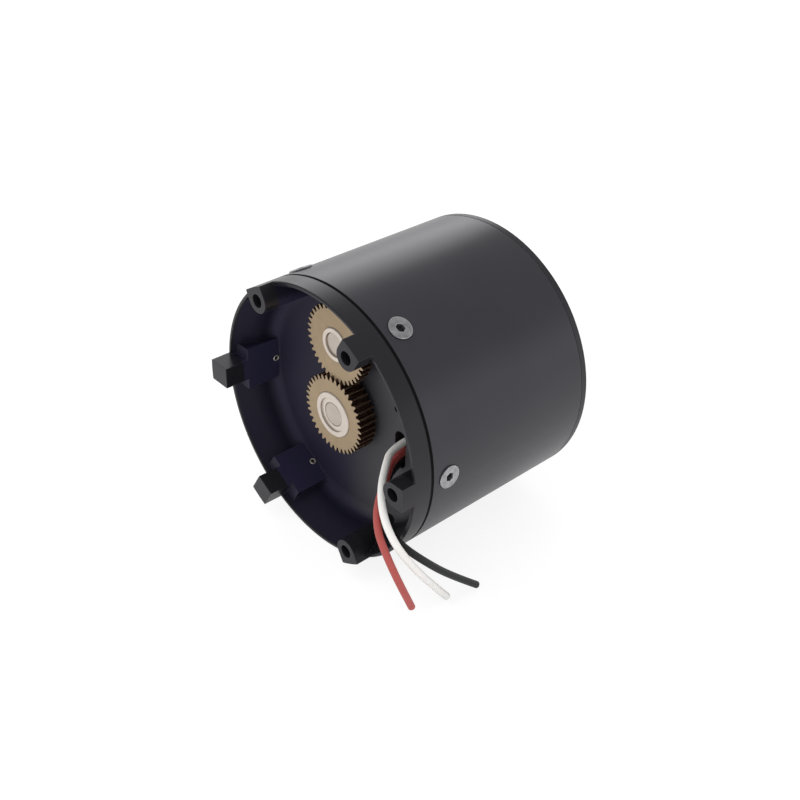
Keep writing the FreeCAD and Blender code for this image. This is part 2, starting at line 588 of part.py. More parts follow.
def front_housing():
    body = new_body("front_housing")
    ring_seat = f"({RING_OUTER_R} + Dims.seat_gap)"
    groove_r = f"({OUTPUT_SEAT_R} + Dims.snap_ring_depth)"
    turned(body, [
        ("0", LIP_R), ("Dims.lip_thickness", LIP_R), ("Dims.lip_thickness", OUTPUT_SEAT_R),
        (OUTPUT_BEARING_END, OUTPUT_SEAT_R), (OUTPUT_BEARING_END, groove_r),
        (f"{SNAP_END} + Dims.seat_gap", groove_r), (f"{SNAP_END} + Dims.seat_gap", OUTPUT_SEAT_R),
        (f"{CARRIER_END} + Dims.run_gap", OUTPUT_SEAT_R),
        (f"{CARRIER_END} + Dims.run_gap", ring_seat), (PLATE_X, ring_seat), (PLATE_X, NECK_R),
        ("Dims.spigot_end_x", NECK_R), ("Dims.spigot_end_x", SEATED_R),
        ("Dims.flange_thickness", SEATED_R), ("Dims.flange_thickness", BODY_R),
        ("Dims.front_chamfer", BODY_R), ("0", f"{BODY_R} - Dims.front_chamfer"),
    ])
    round_holes(
        body, "0", "Dims.housing_bolt_circle / 2", "Dims.housing_bolt_core / 2",
        "Dims.housing_bolt_depth", "Dims.housing_bolt_count",
    )
    sketch = sketch_on(body, "XZ_Plane")
    axial_screw_space(sketch, "Dims.spigot_end_x + Dims.cut_past")
    seat = grooved(body, sketch, screw_line(sketch))
    patterned(body, [seat], "Dims.housing_bolt_count")
    return body


def screw_line(sketch):
    """A construction line along the first front screw, as an axis for a groove or a revolution."""
    radius = "Dims.front_screw_circle / 2"
    start = FreeCAD.Vector(0, mm(radius), 0)
    end = FreeCAD.Vector(mm("Dims.spigot_end_x"), mm(radius), 0)
    line = sketch.addGeometry(Part.LineSegment(start, end), True)
    bind(sketch, "DistanceY", radius, -1, 1, line, 1)
    sketch.addConstraint(Sketcher.Constraint("Horizontal", line))
    return sketch, ["Axis0"]


def axial_screw_space(sketch, end):
    middle = "Dims.front_screw_circle / 2"
    head = "(Dims.screw_head / 2 + Dims.seat_gap)"
    land = "(Dims.head_land + Dims.seat_gap)"
    outline(sketch, [
        ("-Dims.cut_past", middle), ("-Dims.cut_past", f"{middle} + {head}"),
        (land, f"{middle} + {head}"),
        (f"{land} + {head} - {THREAD_R}", f"{middle} + {THREAD_R}"),
        (end, f"{middle} + {THREAD_R}"), (end, middle),
    ])


def motor_plate():
    body = new_body("motor_plate")
    turned(body, [
        (PLATE_X, BEARING_LIP_R), (FRONT_BEARING_X, BEARING_LIP_R),
        (FRONT_BEARING_X, ROTOR_SEAT_R), (FRONT_BEARING_END, ROTOR_SEAT_R),
        (FRONT_BEARING_END, ROTOR_BOSS_R), (PLATE_END, ROTOR_BOSS_R),
        (PLATE_END, SEATED_R), (PLATE_X, SEATED_R),
    ])
    round_holes(
        body, PLATE_X, "Dims.front_screw_circle / 2", THREAD_R, None, "Dims.housing_bolt_count",
        turn=90.0,
    )
    return body


# ---------------------------------------------------------------- screws
def side_screws():
    body = new_body("side_screws")
    sketch = sketch_on(body, "XY_Plane", slide=SIDE_SCREW_X)
    head = "Dims.screw_head / 2"
    land = f"{BODY_R} - Dims.head_land"
    cone = f"{land} - ({head} - {HALF_SCREW})"
    end = f"{BODY_R} - Dims.side_screw_length"
    outline(sketch, [
        ("0", end), (f"{HALF_SCREW} - Dims.screw_point", end),
        (HALF_SCREW, f"{end} + Dims.screw_point"),
        (HALF_SCREW, cone), (head, land), (head, BODY_R), ("0", BODY_R),
    ])
    screw = turn_about(body, sketch, (sketch, ["V_Axis"]))
    socket = sketch_on(body, "XZ_Plane", lift=f"-{BODY_R}")
    hexagon(socket, SIDE_SCREW_X, "0", "Dims.socket_flats")
    drive = pocketed(body, socket, "Dims.socket_depth", forward=True)
    patterned(body, [screw, drive], "Dims.side_screw_count")
    return body


def front_screws():
    body = new_body("front_screws")
    sketch = sketch_on(body, "XZ_Plane")
    middle = "Dims.front_screw_circle / 2"
    head = "Dims.screw_head / 2"
    line = screw_line(sketch)
    outline(sketch, [
        ("0", middle), ("0", f"{middle} + {head}"), ("Dims.head_land", f"{middle} + {head}"),
        (f"Dims.head_land + {head} - {HALF_SCREW}", f"{middle} + {HALF_SCREW}"),
        (PLATE_END, f"{middle} + {HALF_SCREW}"), (PLATE_END, middle),
    ])
    screw = turn_about(body, sketch, line)
    socket = sketch_on(body, "YZ_Plane")
    hexagon(socket, "0", middle, "Dims.socket_flats")
    drive = pocketed(body, socket, "Dims.socket_depth", forward=True)
    patterned(body, [screw, drive], "Dims.housing_bolt_count")
    return body


# ---------------------------------------------------------------- output and gearbox
def output_flange():
    body = new_body("output_flange")
    disc_r = f"({LIP_R} - 2 * Dims.run_gap)"
    shoulder_x = "Dims.lip_thickness - Dims.run_gap"
    edge = "Dims.edge_break"
    turned(body, [
        ("-Dims.output_proud", "0"), ("-Dims.output_proud", f"{disc_r} - {edge}"),
        (f"{edge} - Dims.output_proud", disc_r), (shoulder_x, disc_r),
        (shoulder_x, SHOULDER_R), ("Dims.lip_thickness", SHOULDER_R),
        ("Dims.lip_thickness", OUTPUT_HUB_R), (CARRIER_X, OUTPUT_HUB_R), (CARRIER_X, "0"),
    ])
    face = "-Dims.output_proud"
    pilot = sketch_on(body, "YZ_Plane", lift=face)
    circle(pilot, "0", "0", "Dims.pilot_bore / 2")
    pocketed(body, pilot, "Dims.pilot_depth")
    round_holes(
        body, face, "Dims.output_bolt_circle / 2", "Dims.output_bolt_core / 2",
        "Dims.output_bolt_depth", "Dims.output_bolt_count",
    )
    round_holes(
        body, CARRIER_X, "Dims.carrier_screw_circle / 2", THREAD_R,
        "Dims.carrier_screw_grip + Dims.run_gap", "Dims.planet_count",
        turn=mm("Dims.carrier_screw_angle"), forward=False,
    )
    return body


def carrier_plate():
    body = new_body("carrier_plate")
    edge = "Dims.edge_break"
    outer = f"({OUTPUT_OUTER_RACE_R} - Dims.run_gap)"
    recess = f"({CARRIER_END} - Dims.carrier_recess)"
    turned(body, [
        (CARRIER_X, "0"), (CARRIER_X, f"{outer} - {edge}"), (f"{CARRIER_X} + {edge}", outer),
        (f"{CARRIER_END} - {edge}", outer), (CARRIER_END, f"{outer} - {edge}"),
        (CARRIER_END, "Dims.nose_diameter"), (recess, "Dims.nose_diameter"), (recess, "0"),
    ])
    pin_r = "Dims.planet_pin / 2 + Dims.seat_gap"
    round_holes(body, CARRIER_X, PLANET_ORBIT_R, pin_r, None, "Dims.planet_count")
    screws_r = "Dims.carrier_screw_circle / 2"
    turn = mm("Dims.carrier_screw_angle")
    round_holes(body, CARRIER_X, screws_r, THREAD_R, None, "Dims.planet_count", turn=turn)
    round_holes(
        body, CARRIER_END, screws_r, "Dims.cap_head / 2 + Dims.seat_gap",
        "Dims.cap_head_height + Dims.seat_gap", "Dims.planet_count", turn=turn, forward=False,
    )
    return body


def carrier_screws():
    body = new_body("carrier_screws")
    reach = f"({CARRIER_X} - Dims.carrier_screw_grip)"
    under_head = f"({CARRIER_END} - Dims.cap_head_height)"
    turn = mm("Dims.carrier_screw_angle")
    shank = sketch_on(body, "YZ_Plane", lift=reach, turn=turn)
    circle(shank, "Dims.carrier_screw_circle / 2", "0", HALF_SCREW)
    shanks = padded(body, shank, f"{under_head} - {reach}")
    head = sketch_on(body, "YZ_Plane", lift=under_head, turn=turn)
    circle(head, "Dims.carrier_screw_circle / 2", "0", "Dims.cap_head / 2")
    heads = padded(body, head, "Dims.cap_head_height")
    patterned(body, [shanks, heads], "Dims.planet_count")
    return body


def planet_pins():
    body = new_body("planet_pins")
    shank = sketch_on(body, "YZ_Plane", lift=CARRIER_X)
    circle(shank, PLANET_ORBIT_R, "0", "Dims.planet_pin / 2")
    shanks = padded(body, shank, f"{GEARS_END} + Dims.run_gap - {CARRIER_X}")
    head = sketch_on(body, "YZ_Plane", lift=f"{GEARS_END} + Dims.run_gap")
    circle(head, PLANET_ORBIT_R, "0", "Dims.planet_pin / 2 + Dims.bush_wall / 2")
    heads = padded(body, head, "Dims.run_gap")
    patterned(body, [shanks, heads], "Dims.planet_count")
    return body


def snap_ring():
    """An internal snap ring in its groove behind the output bearing, open over a short arc."""
    body = new_body("bearing_snap_ring")
    groove_r = f"({OUTPUT_SEAT_R} + Dims.snap_ring_depth - Dims.seat_gap)"
    sketch = sketch_on(body, "XZ_Plane")
    rectangle(sketch, OUTPUT_BEARING_END, SNAP_END, LIP_R, groove_r)
    turn_about(body, sketch, (origin_of(body, "X_Axis"), [""]), mm("Dims.snap_ring_arc"))
    return body


def ring_gear():
    body = new_body("ring_gear")
    module = mm("Dims.gear_module")
    teeth = round(mm(RING_TEETH))
    pitch = mm(RING_PITCH_R)
    start = f"({CARRIER_END} + Dims.run_gap)"
    tip = f"({RING_PITCH_R} - 0.9 * Dims.gear_module)"
    turned(body, [(start, tip), (PLATE_X, tip), (PLATE_X, RING_OUTER_R), (start, RING_OUTER_R)])
    radii = [pitch - 1.2 * module, pitch, pitch + 1.25 * module]
    gap = flank_points(teeth, radii, mm("Dims.backlash") / 2)
    sketch = sketch_on(body, "YZ_Plane", lift=start)
    tooth_gap(sketch, gap, 0.0)
    patterned(body, [pocketed(body, sketch)], RING_TEETH)
    return body


def sun_pinion():
    bore = "(Dims.nose_diameter / 2 + Dims.seat_gap)"
    body = ring("sun_pinion", GEARS_X, GEARS_END, bore, outer_tip("Dims.sun_teeth"))
    cut_outer_teeth(body, "Dims.sun_teeth", GEARS_X)
    return body


def planets():
    """Each planet and its bush, made on the axis and set out round the sun."""
    made = []
    bush_r = "(Dims.planet_pin / 2 + Dims.oil_gap + Dims.bush_wall)"
    for number in range(round(mm("Dims.planet_count"))):
        gear = ring(
            f"planet_gear_{number + 1}", GEARS_X, GEARS_END, f"({bush_r} + Dims.seat_gap)",
            outer_tip("Dims.planet_teeth"),
        )
        cut_outer_teeth(gear, "Dims.planet_teeth", GEARS_X)
        bush = ring(
            f"planet_bush_{number + 1}", GEARS_X, GEARS_END,
            "(Dims.planet_pin / 2 + Dims.oil_gap)", bush_r,
        )
        angle = 360.0 * number / mm("Dims.planet_count")
        for body in (gear, bush):
            body.Placement.Rotation = FreeCAD.Rotation(FreeCAD.Vector(1, 0, 0), angle)
            body.setExpression("Placement.Base.y", f"{PLANET_ORBIT_R} * cos({angle})")
            body.setExpression("Placement.Base.z", f"{PLANET_ORBIT_R} * sin({angle})")
            made.append(body)
    return made


# ---------------------------------------------------------------- motor
def stator_core():
    body = ring("stator_core", STACK_X, f"{STACK_X} + Dims.stack_length", YOKE_INNER_R, SEATED_R)
    shoe_r = "(Dims.stator_bore / 2 + Dims.shoe_height)"
    tooth = sketch_on(body, "YZ_Plane", lift=STACK_X)
    half = "Dims.tooth_width / 2"
    rectangle(tooth, f"{shoe_r} - 0.5", f"{YOKE_INNER_R} + 0.5", f"-{half}", half)
    teeth = padded(body, tooth, "Dims.stack_length")
    foot = sketch_on(body, "XY_Plane")
    rectangle(foot, STACK_X, f"{STACK_X} + Dims.stack_length", "Dims.stator_bore / 2", shoe_r)
    shoe = turn_about(body, foot, (origin_of(body, "X_Axis"), [""]), mm("Dims.shoe_angle"), True)
    patterned(body, [teeth, shoe], "Dims.slot_count")
    return body


def stator_windings():
    body = new_body("stator_windings")
    inner = "(Dims.stator_bore / 2 + Dims.shoe_height + Dims.run_gap)"
    outer = f"(sqrt({YOKE_INNER_R} ^ 2 - Dims.coil_half_width ^ 2) - Dims.run_gap)"
    slack = "Dims.run_gap / 2"
    coil = sketch_on(body, "XZ_Plane", lift=f"-{outer}")
    rectangle(
        coil, f"{STACK_X} - Dims.coil_overhang",
        f"{STACK_X} + Dims.stack_length + Dims.coil_overhang",
        "-Dims.coil_half_width", "Dims.coil_half_width",
    )
    rectangle(
        coil, f"{STACK_X} - {slack}", f"{STACK_X} + Dims.stack_length + {slack}",
        f"-(Dims.tooth_width / 2 + {slack})", f"Dims.tooth_width / 2 + {slack}",
    )
    patterned(body, [padded(body, coil, f"{outer} - {inner}")], "Dims.slot_count")
    return body


def rotor_shaft():
    body = new_body("rotor_shaft")
    nose = "Dims.nose_diameter / 2"
    seat = "(Dims.shaft_diameter / 2 - Dims.seat_gap)"
    middle = "Dims.shaft_diameter / 2 + Dims.rotor_race_thickness / 2"
    edge = "Dims.edge_break"
    turned(body, [
        (GEARS_X, "0"), (GEARS_X, f"{nose} - {edge}"), (f"{GEARS_X} + {edge}", nose),
        (f"{GEARS_END}", nose), (f"{GEARS_END}", seat), (FRONT_BEARING_END, seat),
        (FRONT_BEARING_END, middle), (REAR_BEARING_X, middle), (REAR_BEARING_X, seat),
        (f"{SHAFT_END} - {edge}", seat), (SHAFT_END, f"{seat} - {edge}"), (SHAFT_END, "0"),
    ])
    return body


def rotor_hub():
    body = new_body("rotor_hub")
    bore = "(Dims.shaft_diameter / 2 + Dims.rotor_race_thickness / 2 + Dims.seat_gap)"
    boss = f"({bore} + Dims.boss_wall)"
    rim = f"({RIM_OUTER_R} - Dims.rotor_rim)"
    low = f"({STACK_X} - Dims.run_gap)"
    high = f"({STACK_X} + Dims.stack_length + Dims.run_gap)"
    web_x = f"({MOTOR_MIDDLE_X} - Dims.rotor_web / 2)"
    web_end = f"({MOTOR_MIDDLE_X} + Dims.rotor_web / 2)"
    boss_x = f"({FRONT_BEARING_END} + Dims.run_gap)"
    boss_end = f"({REAR_BEARING_X} - Dims.run_gap)"
    turned(body, [
        (boss_x, bore), (boss_end, bore), (boss_end, boss), (web_end, boss), (web_end, rim),
        (high, rim), (high, RIM_OUTER_R), (low, RIM_OUTER_R), (low, rim), (web_x, rim),
        (web_x, boss), (boss_x, boss),
    ])
    hole_r = f"({rim} - {boss}) / 4"
    round_holes(body, web_x, f"({boss} + {rim}) / 2", hole_r, None, "Dims.web_hole_count")
    return body


def rotor_magnets():
    body = new_body("rotor_magnets")
    sketch = sketch_on(body, "XY_Plane")
    rectangle(
        sketch, f"{STACK_X} - Dims.run_gap", f"{STACK_X} + Dims.stack_length + Dims.run_gap",
        MAGNET_INNER_R, MAGNET_OUTER_R,
    )
    axis = (origin_of(body, "X_Axis"), [""])
    magnet = turn_about(body, sketch, axis, mm("Dims.magnet_angle"), True)
    patterned(body, [magnet], "Dims.magnet_count")
    return body


def rotor_bearings():
    """The outer and inner races at the front and the rear of the rotor shaft."""
    races = []
    inner_r = "(Dims.shaft_diameter / 2)"
    seats = (("front", FRONT_BEARING_X, FRONT_BEARING_END), ("rear", REAR_BEARING_X, REAR_BEARING_END))
    for place, low_x, high_x in seats:
        outer_race = f"{place}_rotor_bearing_outer"
        inner_race = f"{place}_rotor_bearing_inner"
        races.append(ring(outer_race, low_x, high_x, BEARING_LIP_R, ROTOR_BEARING_R))
        races.append(ring(
            inner_race, low_x, high_x, inner_r, f"({inner_r} + Dims.rotor_race_thickness)",
        ))
    return races


# ---------------------------------------------------------------- encoder gears in the rear bay
def drive_gear():
    start = f"({DRIVE_FACE_X} - Dims.drive_width)"
    bore = "(Dims.drive_holder_diameter / 2 + Dims.seat_gap)"
    body = ring("drive_gear", start, DRIVE_FACE_X, bore, outer_tip("Dims.drive_teeth"))
    cut_outer_teeth(body, "Dims.drive_teeth", start)
    return body


def magnet_holder(label, low_x, high_x, outer, rear_bore, rear_end):
    """A turned cup for a magnet at the rear, with a bore from its front."""
    body = new_body(label)
    edge = "Dims.edge_break / 2"
    pocket = "(Dims.magnet_diameter / 2 + Dims.seat_gap)"
    step_r = f"({pocket} + Dims.holder_step)"
    step_x = f"({high_x} - Dims.edge_break)"
    floor = f"({step_x} - Dims.magnet_height)"
    corners = [
        (low_x, rear_bore), (rear_end, rear_bore), (rear_end, "0"), (floor, "0"), (floor, pocket),
    ]
    if mm(step_r) < mm(outer) - mm("Dims.edge_break"):
        corners += [(step_x, pocket), (step_x, step_r), (high_x, step_r)]
    else:
        corners += [(high_x, pocket)]
    corners += [(high_x, f"{outer} - {edge}"), (f"{high_x} - {edge}", outer), (low_x, outer)]
    turned(body, corners)
    return body


def drive_gear_holder():
    return magnet_holder(
        "drive_gear_holder", f"{DRIVE_FACE_X} - Dims.drive_width", f"{DRIVE_FACE_X} + Dims.run_gap",
        "(Dims.drive_holder_diameter / 2)", "(Dims.shaft_diameter / 2)", SHAFT_END,
    )


def magnet(label, holder_face):
    top = f"({holder_face} - Dims.edge_break)"
    return plug(label, f"{top} - Dims.magnet_height", top, "(Dims.magnet_diameter / 2)")


def count_gear_set():
    """The second encoder gear with its holder, magnet, bush and axle, on their own axis."""
    holder_x = f"({BAY_FLOOR_X} + Dims.collar_height + Dims.run_gap)"
    holder_face = f"({COUNT_FACE_X} + Dims.run_gap)"
    cup_floor = f"({holder_face} - Dims.edge_break - Dims.magnet_height)"
    axle_end = f"({cup_floor} - 2 * Dims.run_gap)"
    axle_r = "(Dims.count_axle_diameter / 2)"
    bush_r = f"({axle_r} + Dims.oil_gap + Dims.bush_wall)"
    start = f"({COUNT_FACE_X} - Dims.count_width)"
    outer = "(Dims.count_holder_diameter / 2)"
    gear = ring(
        "count_gear", start, COUNT_FACE_X, f"({outer} + Dims.seat_gap)",
        outer_tip("Dims.count_teeth"),
    )
    cut_outer_teeth(gear, "Dims.count_teeth", start)
    holder = magnet_holder(
        "count_gear_holder", holder_x, holder_face, outer, f"({bush_r} + Dims.seat_gap)",
        f"({cup_floor} - Dims.run_gap)",
    )
    bush = ring("count_bush", holder_x, axle_end, f"({axle_r} + Dims.oil_gap)", bush_r)
    axle = new_body("count_axle")
    collar_end = f"({BAY_FLOOR_X} + Dims.collar_height)"
    collar_r = f"({axle_r} + Dims.bush_wall)"
    turned(axle, [
        (FLOOR_X, "0"), (FLOOR_X, axle_r), (BAY_FLOOR_X, axle_r), (BAY_FLOOR_X, collar_r),
        (collar_end, collar_r), (collar_end, axle_r), (axle_end, axle_r), (axle_end, "0"),
    ])
    bodies = [gear, holder, magnet("count_magnet", holder_face), bush, axle]
    for body in bodies:
        body.setExpression("Placement.Base.z", ENCODER_CENTRES)
    past_a_tooth = (mm("Dims.drive_teeth") / 4) % 1
    meshed = (past_a_tooth + 0.5) * 360.0 / mm("Dims.count_teeth") - 90.0
    gear.Placement.Rotation = FreeCAD.Rotation(FreeCAD.Vector(1, 0, 0), meshed)
    return bodies


# ---------------------------------------------------------------- leads
def rounded_path(points):
    """Straight runs joined by tangent arcs, and the radius of each arc."""
    spots = [FreeCAD.Vector(*point) for point in points]
    edges = []
    radii = []
    here = spots[0]
    for before, corner, after in zip(spots, spots[1:], spots[2:]):
        arriving = corner - before
        leaving = after - corner
        half_turn = arriving.getAngle(leaving) / 2
        back = ARC_SHARE * min(arriving.Length, leaving.Length)
        radii.append(back / math.tan(half_turn))
        start = corner - arriving.normalize() * back
        end = corner + leaving.normalize() * back
        inward = (start - corner + end - corner).normalize()
        middle = corner + inward * (radii[-1] / math.cos(half_turn) - radii[-1])
        edges.append(Part.LineSegment(here, start).toShape())
        edges.append(Part.Arc(start, middle, end).toShape())
        here = end
    edges.append(Part.LineSegment(here, spots[-1]).toShape())
    return Part.Wire(edges), radii


def lead(label, points):
    """A flexible lead: a round tube swept along its rounded path."""
    path, radii = rounded_path(points)
    radius = mm("Dims.lead_diameter / 2")
    start = FreeCAD.Vector(*points[0])
    heading = FreeCAD.Vector(*points[1]) - start
    section = Part.Wire([Part.Circle(start, heading, radius).toShape()])
    item = doc.addObject("Part::Feature", label)
    item.Label = label
    item.Shape = path.makePipeShell([section], True, False)
    expected = math.pi * radius ** 2 * path.Length
    if abs(item.Shape.Volume / expected - 1) > 0.02:
        raise RuntimeError(f"{label}: volume {item.Shape.Volume:.1f}, expected {expected:.1f}")
    listed = ", ".join(f"{value:.1f}" for value in radii)
    print(f"{label}: {path.Length:.1f} mm long, arc radii {listed}")
    return item


parts = [
    motor_tube(), rear_housing(), front_housing(), motor_plate(), side_screws(), front_screws(),
    output_flange(), carrier_plate(), carrier_screws(), planet_pins(), ring_gear(), sun_pinion(),
    *planets(), stator_core(), stator_windings(), rotor_shaft(), rotor_hub(), rotor_magnets(),
    ring("output_bearing_outer", "Dims.lip_thickness", OUTPUT_BEARING_END, OUTPUT_OUTER_RACE_R,
         "(Dims.output_bearing_outside / 2)"),
    ring("output_bearing_inner", "Dims.lip_thickness", OUTPUT_BEARING_END,
         "(Dims.output_bearing_bore / 2)", OUTPUT_INNER_RACE_R),
    snap_ring(), *rotor_bearings(),
    drive_gear(), drive_gear_holder(), magnet("drive_magnet", f"{DRIVE_FACE_X} + Dims.run_gap"),
    *count_gear_set(),
    *(lead(label, points) for label, points in LEAD_ROUTES.items()),
]


# ---------------------------------------------------------------- checks and files
doc.recompute()
for item in doc.Objects:
    if {"Invalid", "Error"} & set(item.State):
        raise RuntimeError(f"{item.Label} did not build: {item.State}")
for body in parts:
    if body.Shape.isNull() or not body.Shape.isValid():
        raise RuntimeError(f"{body.Label} has no valid shape")
    body.Shape.exportStep(f"parts/{body.Label}.step")
print(f"{len(parts)} sub-parts written")
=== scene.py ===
# Robot joint actuator: finishes, leads, light and camera round the fixed frame.
import json
import math
import bmesh
import bpy
from mathutils import Matrix, Vector


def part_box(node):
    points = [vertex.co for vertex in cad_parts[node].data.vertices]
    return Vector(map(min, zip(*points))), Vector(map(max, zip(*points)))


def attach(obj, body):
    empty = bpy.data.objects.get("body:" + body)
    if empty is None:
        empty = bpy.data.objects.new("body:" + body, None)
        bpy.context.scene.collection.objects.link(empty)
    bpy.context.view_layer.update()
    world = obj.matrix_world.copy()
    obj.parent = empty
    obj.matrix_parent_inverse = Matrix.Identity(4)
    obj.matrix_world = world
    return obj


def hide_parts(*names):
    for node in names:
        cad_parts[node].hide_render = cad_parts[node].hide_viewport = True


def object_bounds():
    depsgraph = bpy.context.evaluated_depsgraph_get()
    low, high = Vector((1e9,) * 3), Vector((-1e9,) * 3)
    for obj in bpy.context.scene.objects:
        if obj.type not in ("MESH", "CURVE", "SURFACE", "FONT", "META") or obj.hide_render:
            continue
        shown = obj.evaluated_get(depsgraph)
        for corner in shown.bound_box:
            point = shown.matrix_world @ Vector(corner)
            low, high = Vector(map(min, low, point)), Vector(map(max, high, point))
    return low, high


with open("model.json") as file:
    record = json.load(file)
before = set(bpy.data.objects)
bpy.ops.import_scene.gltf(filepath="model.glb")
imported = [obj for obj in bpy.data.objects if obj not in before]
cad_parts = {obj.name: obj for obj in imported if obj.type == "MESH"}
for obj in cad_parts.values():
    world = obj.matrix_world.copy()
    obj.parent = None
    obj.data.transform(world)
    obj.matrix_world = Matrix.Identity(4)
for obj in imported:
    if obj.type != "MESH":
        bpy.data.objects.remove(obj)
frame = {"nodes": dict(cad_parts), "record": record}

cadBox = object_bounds()     # the box round the imported parts; the box that the finished object has to stay in
cadNodes = frame["nodes"]
scene = bpy.context.scene
mm = 0.001
seam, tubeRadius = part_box("motor_tube")[1][:2]      # the tube ends at the rear ring, and lies along X
bodyOf = {}
for bodyName, bodyNodes in frame["record"]["behaviour"]["bodies"].items():
    for nodeName in bodyNodes:
        bodyOf[nodeName] = bodyName
print("frame loaded,", len(cadNodes), "nodes")


def linear(hexColour):
    # sRGB hex to the linear values that a shader wants
    shades = []
    for start in (0, 2, 4):
        shade = int(hexColour[start:start + 2], 16) / 255
        shades.append(shade / 12.92 if shade <= 0.04045 else ((shade + 0.055) / 1.055) ** 2.4)
    return (*shades, 1.0)


def addNode(tree, kind, sockets=None, **settings):
    # one node: settings are its own choices, sockets are numbers, colours or links from other nodes.
    # A Mix has its factor at socket 0, two colours at 6 and 7 or two numbers at 2 and 3, and gives
    # its colour at output 2 and its number at output 0
    node = tree.nodes.new(kind)
    for name, value in settings.items():
        setattr(node, name, value)
    for name, value in (sockets or {}).items():
        if isinstance(value, bpy.types.NodeSocket):
            tree.links.new(value, node.inputs[name])
        else:
            node.inputs[name].default_value = value
    return node


def emptyTree(holder):
    # the nodes of a material or a world, with the ones that come with it taken out
    holder.use_nodes = True
    holder.node_tree.nodes.clear()
    return holder.node_tree


def startMaterial(name):
    # a material with one shader; place is a point's own X, Y and Z in metres
    material = bpy.data.materials.new(name)
    tree = emptyTree(material)
    shader = addNode(tree, "ShaderNodeBsdfPrincipled")
    addNode(tree, "ShaderNodeOutputMaterial", {"Surface": shader.outputs["BSDF"]})
    place = addNode(tree, "ShaderNodeTexCoord").outputs["Object"]
    return material, tree, shader, place


# how alike the rounded and the flat normal are on an open face, and where the painted edge highlight is
# full
brokenEdge = {"flat": 0.995, "shines": 0.85, "samples": 4}
# how much of the open air a point sees where the painted recess shade starts, and where it is full
recess = {"clean": 0.62, "oily": 0.30, "samples": 6}
noiseLow, noiseHigh = 0.3, 0.7       # nearly all that a noise gives lies between these


def brokenEdges(tree, radius):
    # 1 on broken edges, which get a painted highlight, 0 on open faces; also gives the rounded normal
    rounded = addNode(tree, "ShaderNodeBevel", {"Radius": radius}, samples=brokenEdge["samples"])
    flat = addNode(tree, "ShaderNodeNewGeometry").outputs["Normal"]
    same = addNode(tree, "ShaderNodeVectorMath", {
        0: rounded.outputs["Normal"], 1: flat,
    }, operation="DOT_PRODUCT")
    edge = addNode(tree, "ShaderNodeMapRange", {
        "Value": same.outputs["Value"], "From Min": brokenEdge["flat"], "From Max": brokenEdge["shines"],
        "To Min": 0.0, "To Max": 1.0,
    })
    return edge.outputs["Result"], rounded.outputs["Normal"]


def oilyRecess(tree, reach):
    # 1 deep in sockets, bores, grooves and tooth gaps, where shade is painted into the colour; 0 in the
    # open
    clear = addNode(tree, "ShaderNodeAmbientOcclusion", {
        "Distance": reach,
    }, samples=recess["samples"], only_local=True)
    oiled = addNode(tree, "ShaderNodeMapRange", {
        "Value": clear.outputs["AO"], "From Min": recess["clean"], "From Max": recess["oily"],
        "To Min": 0.0, "To Max": 1.0,
    })
    return oiled.outputs["Result"]


# each finish is named for the real material and how its surface was made
anodised = {
    # colour of the dyed oxide, where it faded, and of its worn edge, which also carries a painted
    # highlight;
    # roughness low and high; strength of the lathe rings; how much the oxide shines; whether the part lies
    # at the bay and the seam
    "blackAnodisedTurnedTube": {
        "dye": "302f35", "faded": "36353b", "worn": "4c4b51",
        "rough": (0.28, 0.34), "rings": 0.08, "shine": 0.5, "atBay": True,
    },
    "blackAnodisedMilledRear": {
        "dye": "1f1e23", "faded": "252429", "worn": "46454c",
        "rough": (0.28, 0.38), "rings": 0.05, "shine": 0.4, "atBay": True,
    },
    "blackAnodisedTurnedFront": {
        "dye": "232227", "faded": "2a292f", "worn": "55545a",
        "rough": (0.30, 0.42), "rings": 0.16, "shine": 0.5, "atBay": False,
    },
}
oxide = {
    "ring": 0.5 * mm,        # the tool feed is 0.1 mm a turn, too fine to show, so drawn at 0.5 mm
    "dimple": 0.25 * mm,     # bead blasting leaves dimples of 0.05 mm, drawn at 0.25 mm
    "cloud": 15 * mm,        # the dye takes unevenly over 15 mm or so
    "edge": 0.22 * mm,       # how wide its broken edges shine
    "depth": 0.02 * mm,      # of rings and dimples; then the dimples' strength and share of the grain
    "dimples": 0.10, "dimpleShare": 0.7, "metallic": 0.3,
}
# in the bay, light and shade are painted into the colour: a violet painted shade on the wall and on the
# floor away from the leads, painted light on the pads and on the floor towards the leads, where the wall
# is plain; its skin is rougher there
bay = {
    "wall": "1d1b2f", "pad": "2b2842", "padFrom": 28.8 * mm, "padTo": 30.2 * mm,
    "plain": "19191c", "plainFrom": 6.0 * mm, "plainTo": 15.0 * mm,
    "floor": "262438", "grey": "4b4a4d", "greyFrom": -6.0 * mm, "greyTo": 12.0 * mm,
    "floorFrom": 0.5, "floorTo": 0.95,      # how squarely a face looks out along X
    "rough": 0.6, "radius": tubeRadius - 1.0 * mm, "middle": seam - 3.0 * mm, "half": 7.9 * mm,
}
# the two chamfers that meet at the seam hold a line of dark sealer, and the groove's shade is painted in
# that line
sealer = {"colour": "0b0b0d", "halfWidth": 0.42 * mm, "inside": bay["radius"]}


def insideBay(tree, along, offAxis):
    # 1 in the bay, from its floor to its rim; 0 elsewhere
    within = addNode(tree, "ShaderNodeMath", {0: offAxis, 1: bay["radius"]}, operation="LESS_THAN")
    level = addNode(tree, "ShaderNodeMath", {
        0: along, 1: bay["middle"], 2: bay["half"],
    }, operation="COMPARE")
    both = addNode(tree, "ShaderNodeMath", {
        0: within.outputs["Value"], 1: level.outputs["Value"],
    }, operation="MULTIPLY")
    return both.outputs["Value"]


